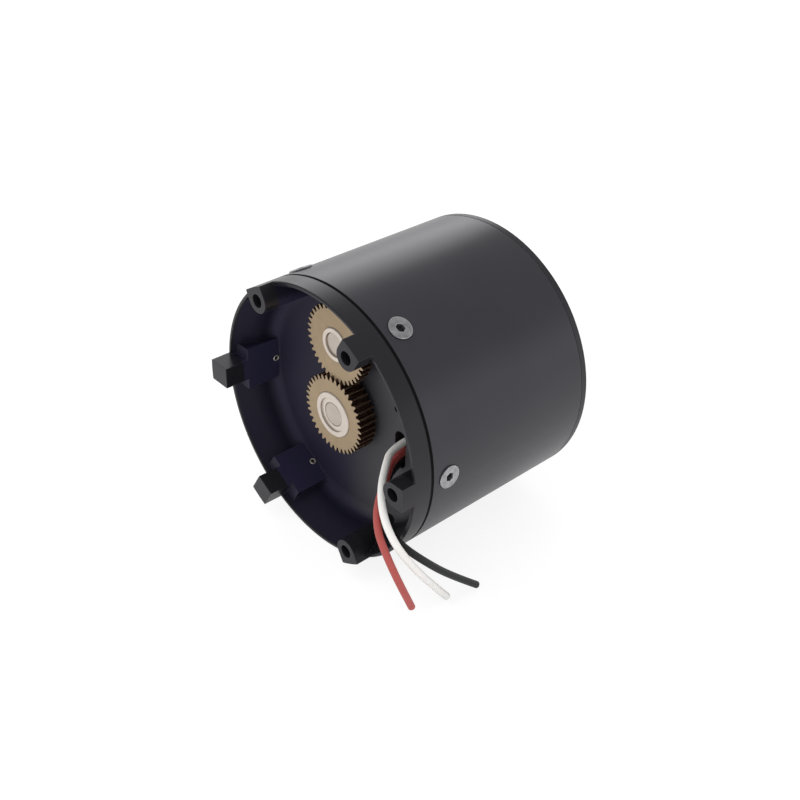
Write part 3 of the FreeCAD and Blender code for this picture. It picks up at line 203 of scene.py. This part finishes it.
def bayDye(tree, place, offAxis):
    # painted light and shade in the bay: floor, pads and wall each with its own, plainer and lighter
    # towards the leads
    facing = addNode(tree, "ShaderNodeNewGeometry").outputs["Normal"]
    onFloor = addNode(tree, "ShaderNodeMapRange", {
        "Value": addNode(tree, "ShaderNodeSeparateXYZ", {"Vector": facing}).outputs["X"],
        "From Min": bay["floorFrom"], "From Max": bay["floorTo"], "To Min": 0.0, "To Max": 1.0,
    })
    towardsLeads = addNode(tree, "ShaderNodeSeparateXYZ", {"Vector": place}).outputs["Y"]
    paler = addNode(tree, "ShaderNodeMapRange", {
        "Value": towardsLeads, "From Min": bay["greyFrom"], "From Max": bay["greyTo"],
        "To Min": 0.0, "To Max": 1.0,
    }, interpolation_type="SMOOTHSTEP")
    plainer = addNode(tree, "ShaderNodeMapRange", {
        "Value": towardsLeads, "From Min": bay["plainFrom"], "From Max": bay["plainTo"],
        "To Min": 0.0, "To Max": 1.0,
    }, interpolation_type="SMOOTHSTEP")
    towardsWall = addNode(tree, "ShaderNodeMapRange", {
        "Value": offAxis, "From Min": bay["padFrom"], "From Max": bay["padTo"],
        "To Min": 0.0, "To Max": 1.0,
    })
    floorDye = addNode(tree, "ShaderNodeMix", {
        0: paler.outputs["Result"], 6: linear(bay["floor"]), 7: linear(bay["grey"]),
    }, data_type="RGBA")
    wallDye = addNode(tree, "ShaderNodeMix", {
        0: towardsWall.outputs["Result"], 6: linear(bay["pad"]), 7: linear(bay["wall"]),
    }, data_type="RGBA")
    sideDye = addNode(tree, "ShaderNodeMix", {
        0: plainer.outputs["Result"], 6: wallDye.outputs[2], 7: linear(bay["plain"]),
    }, data_type="RGBA")
    dye = addNode(tree, "ShaderNodeMix", {
        0: onFloor.outputs["Result"], 6: sideDye.outputs[2], 7: floorDye.outputs[2],
    }, data_type="RGBA")
    return dye.outputs[2]


def onSealer(tree, along, offAxis):
    # 1 on the line of sealer and painted groove shade round the outside, 0 elsewhere
    fromSeam = addNode(tree, "ShaderNodeMath", {0: along, 1: -seam}, operation="ADD")
    toEitherSide = addNode(tree, "ShaderNodeMath", {0: fromSeam.outputs["Value"]}, operation="ABSOLUTE")
    atSeam = addNode(tree, "ShaderNodeMath", {
        0: toEitherSide.outputs["Value"], 1: sealer["halfWidth"],
    }, operation="LESS_THAN")
    outside = addNode(tree, "ShaderNodeMath", {0: offAxis, 1: sealer["inside"]}, operation="GREATER_THAN")
    both = addNode(tree, "ShaderNodeMath", {
        0: atSeam.outputs["Value"], 1: outside.outputs["Value"],
    }, operation="MULTIPLY")
    return both.outputs["Value"]


def anodisedAluminium(name, look):
    # 6061 aluminium, turned, bead blasted fine and dyed black: satin, even, with faint lathe rings
    # and edges that are lighter where the oxide is worn thin, with a painted highlight on them as well
    material, tree, shader, place = startMaterial(name)
    along = addNode(tree, "ShaderNodeSeparateXYZ", {"Vector": place}).outputs["X"]
    rings = addNode(tree, "ShaderNodeTexNoise", {
        "W": along, "Scale": 1 / oxide["ring"], "Detail": 2.0,
    }, noise_dimensions="1D").outputs["Fac"]
    dimples = addNode(tree, "ShaderNodeTexNoise", {
        "Vector": place, "Scale": 1 / oxide["dimple"], "Detail": 3.0,
    }).outputs["Fac"]
    cloud = addNode(tree, "ShaderNodeTexNoise", {
        "Vector": place, "Scale": 1 / oxide["cloud"], "Detail": 2.0,
    }).outputs["Fac"]
    edge, rounded = brokenEdges(tree, oxide["edge"])
    colour = addNode(tree, "ShaderNodeMix", {
        0: cloud, 6: linear(look["dye"]), 7: linear(look["faded"]),
    }, data_type="RGBA").outputs[2]
    low, high = look["rough"]
    grain = addNode(tree, "ShaderNodeMix", {
        0: oxide["dimpleShare"], 2: rings, 3: dimples,
    }, data_type="FLOAT")
    rough = addNode(tree, "ShaderNodeMapRange", {
        "Value": grain.outputs[0], "From Min": noiseLow, "From Max": noiseHigh,
        "To Min": low, "To Max": high,
    }).outputs["Result"]
    if look["atBay"]:
        across = addNode(tree, "ShaderNodeVectorMath", {0: place, 1: (0.0, 1.0, 1.0)}, operation="MULTIPLY")
        offAxis = addNode(tree, "ShaderNodeVectorMath", {
            0: across.outputs["Vector"],
        }, operation="LENGTH").outputs["Value"]
        inBay = insideBay(tree, along, offAxis)
        # the bay's painted light and shade go into the colour here
        colour = addNode(tree, "ShaderNodeMix", {
            0: inBay, 6: colour, 7: bayDye(tree, place, offAxis),
        }, data_type="RGBA").outputs[2]
        rough = addNode(tree, "ShaderNodeMix", {
            0: inBay, 2: rough, 3: bay["rough"],
        }, data_type="FLOAT").outputs[0]
    # painted highlight on the broken edges, over the lighter wear of the oxide there
    colour = addNode(tree, "ShaderNodeMix", {
        0: edge, 6: colour, 7: linear(look["worn"]),
    }, data_type="RGBA").outputs[2]
    if look["atBay"]:
        # dark sealer in the seam, with the groove's shade painted into the same line
        sealed = onSealer(tree, along, offAxis)
        colour = addNode(tree, "ShaderNodeMix", {
            0: sealed, 6: colour, 7: linear(sealer["colour"]),
        }, data_type="RGBA").outputs[2]
        rough = addNode(tree, "ShaderNodeMath", {
            0: sealed, 1: rough,
        }, operation="MAXIMUM").outputs["Value"]
    tree.links.new(colour, shader.inputs["Base Color"])
    tree.links.new(rough, shader.inputs["Roughness"])
    ringBump = addNode(tree, "ShaderNodeBump", {
        "Height": rings, "Strength": look["rings"], "Distance": oxide["depth"], "Normal": rounded,
    })
    dimpleBump = addNode(tree, "ShaderNodeBump", {
        "Height": dimples, "Strength": oxide["dimples"], "Distance": oxide["depth"],
        "Normal": ringBump.outputs["Normal"],
    })
    tree.links.new(dimpleBump.outputs["Normal"], shader.inputs["Normal"])
    shader.inputs["Metallic"].default_value = oxide["metallic"]
    shader.inputs["Specular IOR Level"].default_value = look["shine"]
    return material


usualMetal = {
    # how much of it is bare metal, how wide its broken edges shine in mm, how far a stain spreads
    # in mm, and the strength and depth in mm of the machining marks
    "metallic": 1.0, "edgeWidth": 0.14, "stain": 2.5, "marks": 0.25, "depth": 0.01,
}
metals = {
    # two shades of the bare metal, the colour of its painted edge highlight and of its painted recess
    # shade;
    # roughness low and high; machining mark in mm; how far the recess shade reaches in mm; then what
    # differs from usualMetal, and on the outer gears the painted shade of their flanks
    "hobbedBrass": {
        "shades": ("a08b6f", "ac977a"), "edge": "c8b59b", "recess": "24130c",
        "rough": (0.42, 0.56), "mark": 0.35, "reach": 0.8, "metallic": 0.55, "flank": "3a2216",
    },
    "turnedBrightAluminium": {
        "shades": ("d5c9bd", "ded3c7"), "edge": "f0e8df", "recess": "4a3f38",
        "rough": (0.30, 0.40), "mark": 0.22, "reach": 1.2, "metallic": 0.7,
    },
    "nickelPlatedMagnet": {
        "shades": ("b9aea2", "c6bbaf"), "edge": "e0d8cd", "recess": "4a3f38",
        "rough": (0.28, 0.38), "mark": 0.8, "reach": 0.6, "metallic": 0.7,
    },
    "zincPlatedScrew": {
        "shades": ("828286", "c0c0c3"), "edge": "e6e6e8", "recess": "030304",
        "rough": (0.30, 0.50), "mark": 0.3, "reach": 1.6, "metallic": 0.9,
        "edgeWidth": 0.30, "stain": 1.2,
    },
    "groundBearingSteel": {
        "shades": ("a3a4a6", "b4b5b6"), "edge": "dcdcdd", "recess": "3a3834",
        "rough": (0.16, 0.24), "mark": 0.15, "reach": 0.8,
    },
    "hobbedGearSteel": {
        "shades": ("7d7d7f", "909092"), "edge": "bfbfc0", "recess": "2a2826",
        "rough": (0.28, 0.40), "mark": 0.3, "reach": 0.6,
    },
    "sinteredBronze": {
        "shades": ("8a6238", "a0764a"), "edge": "c89c68", "recess": "3a2412",
        "rough": (0.45, 0.60), "mark": 0.2, "reach": 0.6,
    },
    "milledAluminium": {
        "shades": ("a9aaac", "bcbdbe"), "edge": "e2e2e3", "recess": "4a4a4b",
        "rough": (0.30, 0.42), "mark": 0.4, "reach": 1.2,
    },
    "laminatedSteel": {
        "shades": ("4d4b4b", "636060"), "edge": "8b8886", "recess": "1c1a19",
        "rough": (0.45, 0.60), "mark": 0.35, "reach": 1.2,
    },
    "enamelledCopper": {
        "shades": ("8c4a24", "a85d30"), "edge": "cf8450", "recess": "3a1a0a",
        "rough": (0.22, 0.34), "mark": 0.5, "reach": 1.2,
    },
    "tinnedCopperStrand": {
        "shades": ("b9b6b1", "cfccc7"), "edge": "ecebe8", "recess": "6a625a",
        "rough": (0.25, 0.36), "mark": 0.2, "reach": 0.3,
    },
}


def bareMetal(name, look):
    # machined metal: fine marks across the work, a faint stain, a painted edge highlight, painted recess
    # shade
    look = {**usualMetal, **look}
    material, tree, shader, place = startMaterial(name)
    marks = addNode(tree, "ShaderNodeTexNoise", {
        "Vector": place, "Scale": 1 / (look["mark"] * mm), "Detail": 4.0, "Roughness": 0.6,
    }).outputs["Fac"]
    stain = addNode(tree, "ShaderNodeTexNoise", {
        "Vector": place, "Scale": 1 / (look["stain"] * mm), "Detail": 1.0,
    }).outputs["Fac"]
    edge, rounded = brokenEdges(tree, look["edgeWidth"] * mm)
    dull, clean = look["shades"]
    colour = addNode(tree, "ShaderNodeMix", {
        0: stain, 6: linear(dull), 7: linear(clean),
    }, data_type="RGBA").outputs[2]
    if "flank" in look:
        # painted shade on the tooth flanks, the sides that mesh; the end faces, which look along X, keep
        # their colour
        facing = addNode(tree, "ShaderNodeNewGeometry").outputs["Normal"]
        alongAxis = addNode(tree, "ShaderNodeSeparateXYZ", {"Vector": facing}).outputs["X"]
        sawn = addNode(tree, "ShaderNodeMath", {0: alongAxis}, operation="ABSOLUTE").outputs["Value"]
        colour = addNode(tree, "ShaderNodeMix", {
            0: sawn, 6: linear(look["flank"]), 7: colour,
        }, data_type="RGBA").outputs[2]
    # painted highlight on the broken edges
    bright = addNode(tree, "ShaderNodeMix", {0: edge, 6: colour, 7: linear(look["edge"])}, data_type="RGBA")
    # painted shade in sockets, bores and tooth gaps: darker the less open air a point sees
    oiled = addNode(tree, "ShaderNodeMix", {
        0: oilyRecess(tree, look["reach"] * mm), 6: bright.outputs[2], 7: linear(look["recess"]),
    }, data_type="RGBA")
    tree.links.new(oiled.outputs[2], shader.inputs["Base Color"])
    low, high = look["rough"]
    rough = addNode(tree, "ShaderNodeMapRange", {
        "Value": marks, "From Min": noiseLow, "From Max": noiseHigh, "To Min": low, "To Max": high,
    })
    tree.links.new(rough.outputs["Result"], shader.inputs["Roughness"])
    bump = addNode(tree, "ShaderNodeBump", {
        "Height": marks, "Strength": look["marks"], "Distance": look["depth"] * mm, "Normal": rounded,
    })
    tree.links.new(bump.outputs["Normal"], shader.inputs["Normal"])
    shader.inputs["Metallic"].default_value = look["metallic"]
    return material


silicones = {
    # colour of the sleeve, where it is rubbed, and roughness low and high
    "siliconeWhite": {"colour": "efedea", "rubbed": "e6e4e0", "rough": (0.40, 0.50)},
    "siliconeRed": {"colour": "b1524d", "rubbed": "a84b47", "rough": (0.40, 0.50)},
    "siliconeBlack": {"colour": "191a1b", "rubbed": "1f2021", "rough": (0.36, 0.46)},
}
rubber = {
    "powder": 3.0 * mm,      # the trace of powder lies in patches of 3 mm
    "skin": 0.3 * mm,        # the skin's grain is 0.05 mm, drawn at 0.3 mm
    "grain": 0.08, "depth": 0.02 * mm, "ior": 1.43, "soft": 0.05, "softDepth": 0.5 * mm,
}


def siliconeSleeve(name, look):
    # extruded silicone rubber: soft sheen, an even colour with a trace of powder on it
    material, tree, shader, place = startMaterial(name)
    powder = addNode(tree, "ShaderNodeTexNoise", {
        "Vector": place, "Scale": 1 / rubber["powder"], "Detail": 3.0,
    }).outputs["Fac"]
    skin = addNode(tree, "ShaderNodeTexNoise", {
        "Vector": place, "Scale": 1 / rubber["skin"], "Detail": 2.0,
    }).outputs["Fac"]
    colour = addNode(tree, "ShaderNodeMix", {
        0: powder, 6: linear(look["rubbed"]), 7: linear(look["colour"]),
    }, data_type="RGBA")
    tree.links.new(colour.outputs[2], shader.inputs["Base Color"])
    low, high = look["rough"]
    rough = addNode(tree, "ShaderNodeMapRange", {"Value": skin, "To Min": low, "To Max": high})
    tree.links.new(rough.outputs["Result"], shader.inputs["Roughness"])
    bump = addNode(tree, "ShaderNodeBump", {
        "Height": skin, "Strength": rubber["grain"], "Distance": rubber["depth"],
    })
    tree.links.new(bump.outputs["Normal"], shader.inputs["Normal"])
    shader.inputs["IOR"].default_value = rubber["ior"]
    shader.inputs["Subsurface Weight"].default_value = rubber["soft"]
    shader.inputs["Subsurface Scale"].default_value = rubber["softDepth"]
    return material


finishes = {}
for makeFinish, looks in ((anodisedAluminium, anodised), (bareMetal, metals), (siliconeSleeve, silicones)):
    for finishName, look in looks.items():
        finishes[finishName] = makeFinish(finishName, look)
print("finishes made:", len(finishes))

madeOf = {
    "blackAnodisedTurnedTube": ["motor_tube"],
    "blackAnodisedMilledRear": ["rear_housing"],
    "blackAnodisedTurnedFront": ["front_housing", "output_flange"],
    "milledAluminium": ["motor_plate", "carrier_plate", "rotor_hub"],
    "turnedBrightAluminium": ["drive_gear_holder", "count_gear_holder"],
    "hobbedBrass": ["drive_gear", "count_gear"],
    "nickelPlatedMagnet": ["drive_magnet", "count_magnet", "rotor_magnets"],
    "zincPlatedScrew": ["side_screws", "front_screws", "carrier_screws"],
    "groundBearingSteel": [
        "output_bearing_outer", "output_bearing_inner", "front_rotor_bearing_outer",
        "front_rotor_bearing_inner", "rear_rotor_bearing_outer", "rear_rotor_bearing_inner",
        "bearing_snap_ring", "planet_pins", "rotor_shaft", "count_axle",
    ],
    "hobbedGearSteel": ["ring_gear", "sun_pinion", "planet_gear_1", "planet_gear_2", "planet_gear_3"],
    "sinteredBronze": ["planet_bush_1", "planet_bush_2", "planet_bush_3", "count_bush"],
    "laminatedSteel": ["stator_core"],
    "enamelledCopper": ["stator_windings"],
}
finishOf = {}
for finishName, nodeNames in madeOf.items():
    for nodeName in nodeNames:
        finishOf[nodeName] = finishes[finishName]
        cadNodes[nodeName].data.materials.clear()
        cadNodes[nodeName].data.materials.append(finishOf[nodeName])


def shadeRound(shell, sharpAngle):
    # faces shade as one round surface, except across an edge sharper than this
    for face in shell.faces:
        face.smooth = True
    for edge in shell.edges:
        edge.smooth = edge.is_manifold and edge.calc_face_angle(0.0) < math.radians(sharpAngle)


def makePiece(name, shell, finish):
    # the finished shape as an object at the origin
    mesh = bpy.data.meshes.new(name)
    shell.to_mesh(mesh)
    shell.free()
    mesh.materials.append(finish)
    piece = bpy.data.objects.new(name, mesh)
    scene.collection.objects.link(piece)
    return piece


# the round pieces that show: their loose triangles are joined, so that turned faces shade as round
roundPieces = {"sharpAngle": 28, "joinWithin": 0.0005 * mm, "nodes": [
    "motor_tube", "rear_housing", "front_housing", "side_screws", "front_screws", "output_flange",
    "output_bearing_outer", "output_bearing_inner", "drive_gear_holder", "count_gear_holder",
    "drive_magnet", "count_magnet", "count_axle", "drive_gear", "count_gear",
]}
# the countersunk heads stand a little proud of the tube, as they do when tight on their cones
proudHeads = {"node": "side_screws", "above": 33.0 * mm, "proud": 0.3 * mm}


def raiseHeads(shell):
    # the head at 180 degrees has no room in the box, so it stays flush
    for vert in shell.verts:
        outwards = Vector((0.0, vert.co.y, vert.co.z))
        if outwards.length > proudHeads["above"]:
            vert.co += outwards.normalized() * proudHeads["proud"]
            vert.co.y = max(vert.co.y, cadBox[0][1])


for nodeName in roundPieces["nodes"]:
    shell = bmesh.new()
    shell.from_mesh(cadNodes[nodeName].data)
    bmesh.ops.remove_doubles(shell, verts=shell.verts, dist=roundPieces["joinWithin"])
    if nodeName == proudHeads["node"]:
        raiseHeads(shell)
    shadeRound(shell, roundPieces["sharpAngle"])
    piece = makePiece(nodeName + "_round", shell, finishOf[nodeName])
    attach(piece, bodyOf[nodeName])
    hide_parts(nodeName)
print("round pieces joined:", len(roundPieces["nodes"]))

# bright burrs where the drill for a side screw broke through the two flat pads in the bay; they
# are bare aluminium, as the motor plate is
burrs = {
    "angles": (180, 240), "fromAxis": 28.0 * mm, "ringRadius": 0.66 * mm, "wireRadius": 0.18 * mm,
    "ringSteps": 24, "wireSteps": 8, "sharpAngle": 60,
}


def makeBurr(angle):
    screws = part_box("side_screws")
    outwards = Vector((0.0, math.cos(math.radians(angle)), math.sin(math.radians(angle))))
    middle = Vector(((screws[0][0] + screws[1][0]) / 2, 0.0, 0.0)) + outwards * burrs["fromAxis"]
    facing = outwards.to_track_quat("Z", "Y").to_matrix().to_4x4()
    shell = bmesh.new()
    bmesh.ops.create_circle(
        shell, segments=burrs["wireSteps"], radius=burrs["wireRadius"],
        matrix=Matrix.Translation((burrs["ringRadius"], 0.0, 0.0)) @ Matrix.Rotation(math.pi / 2, 4, "X"),
    )
    bmesh.ops.spin(
        shell, geom=shell.verts[:] + shell.edges[:], cent=(0.0, 0.0, 0.0), axis=(0.0, 0.0, 1.0),
        angle=2 * math.pi, steps=burrs["ringSteps"], use_merge=True,
    )
    bmesh.ops.recalc_face_normals(shell, faces=shell.faces)
    bmesh.ops.transform(shell, matrix=Matrix.Translation(middle) @ facing, verts=shell.verts)
    shadeRound(shell, burrs["sharpAngle"])
    return makePiece("drill_burr_" + str(angle), shell, finishes["turnedBrightAluminium"])


for angle in burrs["angles"]:
    burr = makeBurr(angle)
    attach(burr, bodyOf["rear_housing"])
print("burrs made:", len(burrs["angles"]))

# the three motor leads, in mm: out of the floor slot, over the rim, down to the bench
leads = {
    "lead_white": {
        "finish": "siliconeWhite", "route": [
            (42.2, 17.0, -1.5), (47.8, 17.0, -1.7), (52.2, 20.2, -2.3), (57.5, 24.6, -3.6),
            (60.6, 29.1, -6.6), (61.2, 33.0, -10.5), (58.9, 35.5, -16.1), (54.2, 37.2, -23.6),
            (47.6, 37.2, -32.5),
        ],
    },
    "lead_red": {
        "finish": "siliconeRed", "route": [
            (42.2, 17.0, -3.9), (47.8, 17.3, -4.6), (52.0, 20.4, -5.9), (57.9, 24.0, -7.8),
            (61.5, 28.2, -10.4), (62.4, 32.0, -13.9), (61.9, 34.8, -18.7), (60.1, 36.2, -24.5),
            (57.6, 36.0, -30.3),
        ],
    },
    "lead_black": {
        "finish": "siliconeBlack", "route": [
            (42.2, 17.0, -6.3), (47.6, 17.1, -7.2), (51.0, 18.9, -10.0), (54.9, 22.1, -11.8),
            (57.6, 26.3, -12.8), (57.6, 31.8, -14.8), (53.5, 35.5, -19.5), (47.3, 37.5, -25.9),
            (39.7, 39.0, -32.4),
        ],
    },
}
leadSize = {"diameter": 1.75 * mm, "aroundSteps": 8, "alongSteps": 12}
# the cut end of each lead: one strand in the middle and six round it, a little proud of the sleeve;
# they are copper, as the windings are, and tinned
strandEnd = {
    "round": 6, "radius": 0.23 * mm, "pitch": 0.47 * mm, "proud": 0.35 * mm, "depth": 0.6 * mm,
    "aroundSteps": 10, "sharpAngle": 48,
}


def makeSleeve(name, route, finish):
    curve = bpy.data.curves.new(name, "CURVE")
    curve.dimensions = "3D"
    curve.bevel_depth = leadSize["diameter"] / 2
    curve.bevel_resolution = leadSize["aroundSteps"]
    curve.use_fill_caps = True
    curve.resolution_u = leadSize["alongSteps"]
    curve.materials.append(finish)
    spline = curve.splines.new("NURBS")
    spline.points.add(len(route) - 1)
    for point, place in zip(spline.points, route):
        point.co = (place[0] * mm, place[1] * mm, place[2] * mm, 1.0)
    spline.order_u = 3
    spline.use_endpoint_u = True
    sleeve = bpy.data.objects.new(name, curve)
    scene.collection.objects.link(sleeve)
    return sleeve


def makeStrands(name, route, finish):
    tip = Vector(route[-1]) * mm
    outOfSleeve = (tip - Vector(route[-2]) * mm).normalized()
    length = strandEnd["proud"] + strandEnd["depth"]
    facing = outOfSleeve.to_track_quat("Z", "Y").to_matrix().to_4x4()
    base = Matrix.Translation(tip + outOfSleeve * (strandEnd["proud"] - length / 2)) @ facing
    places = [Vector((0.0, 0.0, 0.0))]
    for step in range(strandEnd["round"]):
        angle = 2 * math.pi * step / strandEnd["round"]
        places.append(Vector((math.cos(angle), math.sin(angle), 0.0)) * strandEnd["pitch"])
    shell = bmesh.new()
    for place in places:
        bmesh.ops.create_cone(
            shell, cap_ends=True, segments=strandEnd["aroundSteps"], radius1=strandEnd["radius"],
            radius2=strandEnd["radius"], depth=length, matrix=base @ Matrix.Translation(place),
        )
    shadeRound(shell, strandEnd["sharpAngle"])
    return makePiece(name, shell, finish)


for leadName, lead in leads.items():
    sleeve = makeSleeve(leadName + "_sleeve", lead["route"], finishes[lead["finish"]])
    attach(sleeve, bodyOf[leadName])
    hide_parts(leadName)
    strands = makeStrands(leadName + "_strands", lead["route"], finishes["tinnedCopperStrand"])
    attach(strands, bodyOf[leadName])
print("leads laid")


def rayKinds(tree):
    # 1 for what the camera sees, also through glass, and 1 for what polished faces mirror
    path = addNode(tree, "ShaderNodeLightPath")
    seen = addNode(tree, "ShaderNodeMath", {
        0: path.outputs["Is Camera Ray"], 1: path.outputs["Is Transmission Ray"],
    }, operation="MAXIMUM")
    return {"seen": seen.outputs["Value"], "mirrored": path.outputs["Is Glossy Ray"]}


bench = {
    # seen and mirrored: how much of its white comes from the lamps, which keeps the shadow, and
    # how much is its own
    "size": 6.0, "height": cadBox[0][2], "shade": "f4f4f4",
    "seen": (0.20, 0.84), "mirrored": (0.45, 0.40),
}


def benchPaper():
    # white paper: matt, and as white as the backdrop but for the shadow
    material = bpy.data.materials.new("whitePaperBench")
    tree = emptyTree(material)
    surface = addNode(tree, "ShaderNodeBsdfDiffuse", {"Color": linear(bench["shade"])}).outputs["BSDF"]
    for use, ray in rayKinds(tree).items():
        shadowed, ownGlow = bench[use]
        dimPaper = addNode(tree, "ShaderNodeBsdfDiffuse", {"Color": (*[shadowed] * 3, 1.0)})
        glow = addNode(tree, "ShaderNodeEmission", {"Color": linear("ffffff"), "Strength": ownGlow})
        lit = addNode(tree, "ShaderNodeAddShader", {
            0: dimPaper.outputs["BSDF"], 1: glow.outputs["Emission"],
        })
        surface = addNode(tree, "ShaderNodeMixShader", {
            0: ray, 1: surface, 2: lit.outputs["Shader"],
        }).outputs["Shader"]
    addNode(tree, "ShaderNodeOutputMaterial", {"Surface": surface})
    return material


benchTop = bmesh.new()
bmesh.ops.create_grid(benchTop, x_segments=1, y_segments=1, size=bench["size"] / 2)
bmesh.ops.translate(benchTop, verts=benchTop.verts, vec=(0.0, 0.0, bench["height"]))
makePiece("bench", benchTop, benchPaper())

studio = {
    # the light of the room, and what polished faces mirror: a white backdrop up to one height and a
    # dimmer ceiling from the next, and a darker room on the side that the bay looks to
    "room": 1.0, "backdropTop": 0.20, "ceilingFrom": 0.50, "ceiling": 0.48,
    "darkFrom": -0.3, "darkTo": 0.1, "dark": 0.35,
}


def studioWorld():
    world = bpy.data.worlds.new("studio")
    tree = emptyTree(world)
    white = linear("ffffff")
    outward = addNode(tree, "ShaderNodeTexCoord").outputs["Generated"]
    compass = addNode(tree, "ShaderNodeSeparateXYZ", {"Vector": outward})
    ceiling = addNode(tree, "ShaderNodeMapRange", {
        "Value": compass.outputs["Z"], "From Min": studio["backdropTop"], "From Max": studio["ceilingFrom"],
        "To Min": 1.0, "To Max": studio["ceiling"],
    }, interpolation_type="SMOOTHSTEP")
    dark = addNode(tree, "ShaderNodeMapRange", {
        "Value": compass.outputs["X"], "From Min": studio["darkFrom"], "From Max": studio["darkTo"],
        "To Min": 1.0, "To Max": studio["dark"],
    }, interpolation_type="SMOOTHSTEP")
    both = addNode(tree, "ShaderNodeMath", {
        0: ceiling.outputs["Result"], 1: dark.outputs["Result"],
    }, operation="MULTIPLY")
    room = addNode(tree, "ShaderNodeBackground", {"Color": white, "Strength": studio["room"]})
    mirror = addNode(tree, "ShaderNodeBackground", {"Color": white, "Strength": both.outputs["Value"]})
    backdrop = addNode(tree, "ShaderNodeBackground", {"Color": white, "Strength": 1.0})
    rays = rayKinds(tree)
    withMirror = addNode(tree, "ShaderNodeMixShader", {
        0: rays["mirrored"], 1: room.outputs["Background"], 2: mirror.outputs["Background"],
    })
    withBackdrop = addNode(tree, "ShaderNodeMixShader", {
        0: rays["seen"], 1: withMirror.outputs["Shader"], 2: backdrop.outputs["Background"],
    })
    addNode(tree, "ShaderNodeOutputWorld", {"Surface": withBackdrop.outputs["Shader"]})
    return world


scene.world = studioWorld()

lamps = {
    # where each soft box hangs, its size in metres, its power in watts and whether polished faces
    # mirror it; all of them face the same place
    "keySoftbox": {"place": (0.40, -0.25, 0.75), "size": 0.7, "power": 1.6, "mirrored": False},
    "fillSoftbox": {"place": (0.55, 0.75, 0.35), "size": 0.7, "power": 0.8, "mirrored": False},
    "backSoftbox": {"place": (-0.52, -0.75, 0.40), "size": 0.5, "power": 1.2, "mirrored": True},
}
lampsFace = (0.03, 0.0, 0.0)
for lampName, lamp in lamps.items():
    light = bpy.data.lights.new(lampName, "AREA")
    light.shape = "SQUARE"
    light.size = lamp["size"]
    light.energy = lamp["power"]
    holder = bpy.data.objects.new(lampName, light)
    holder.location = lamp["place"]
    holder.visible_glossy = lamp["mirrored"]
    aim = Vector(lampsFace) - Vector(lamp["place"])
    holder.rotation_euler = aim.to_track_quat("-Z", "Y").to_euler()
    scene.collection.objects.link(holder)

cameraSetup = {
    "place": (0.1851, 0.1662, 0.1517), "looksAlong": (-0.5626, -0.6011, -0.5676),
    "right": (-0.7424, 0.6695, 0.0269), "lens": 50.67, "sensor": 36.0, "nearest": 0.01,
}
cameraData = bpy.data.cameras.new("camera")
cameraData.sensor_width = cameraSetup["sensor"]
cameraData.lens = cameraSetup["lens"]
cameraData.clip_start = cameraSetup["nearest"]
camera = bpy.data.objects.new("camera", cameraData)
back = -Vector(cameraSetup["looksAlong"]).normalized()
right = Vector(cameraSetup["right"])
right = (right - right.dot(back) * back).normalized()
facing = Matrix((right, back.cross(right), back)).transposed().to_4x4()
camera.matrix_world = Matrix.Translation(cameraSetup["place"]) @ facing
scene.collection.objects.link(camera)
scene.camera = camera
scene.view_settings.view_transform = "Standard"
print("bench, light and camera placed")
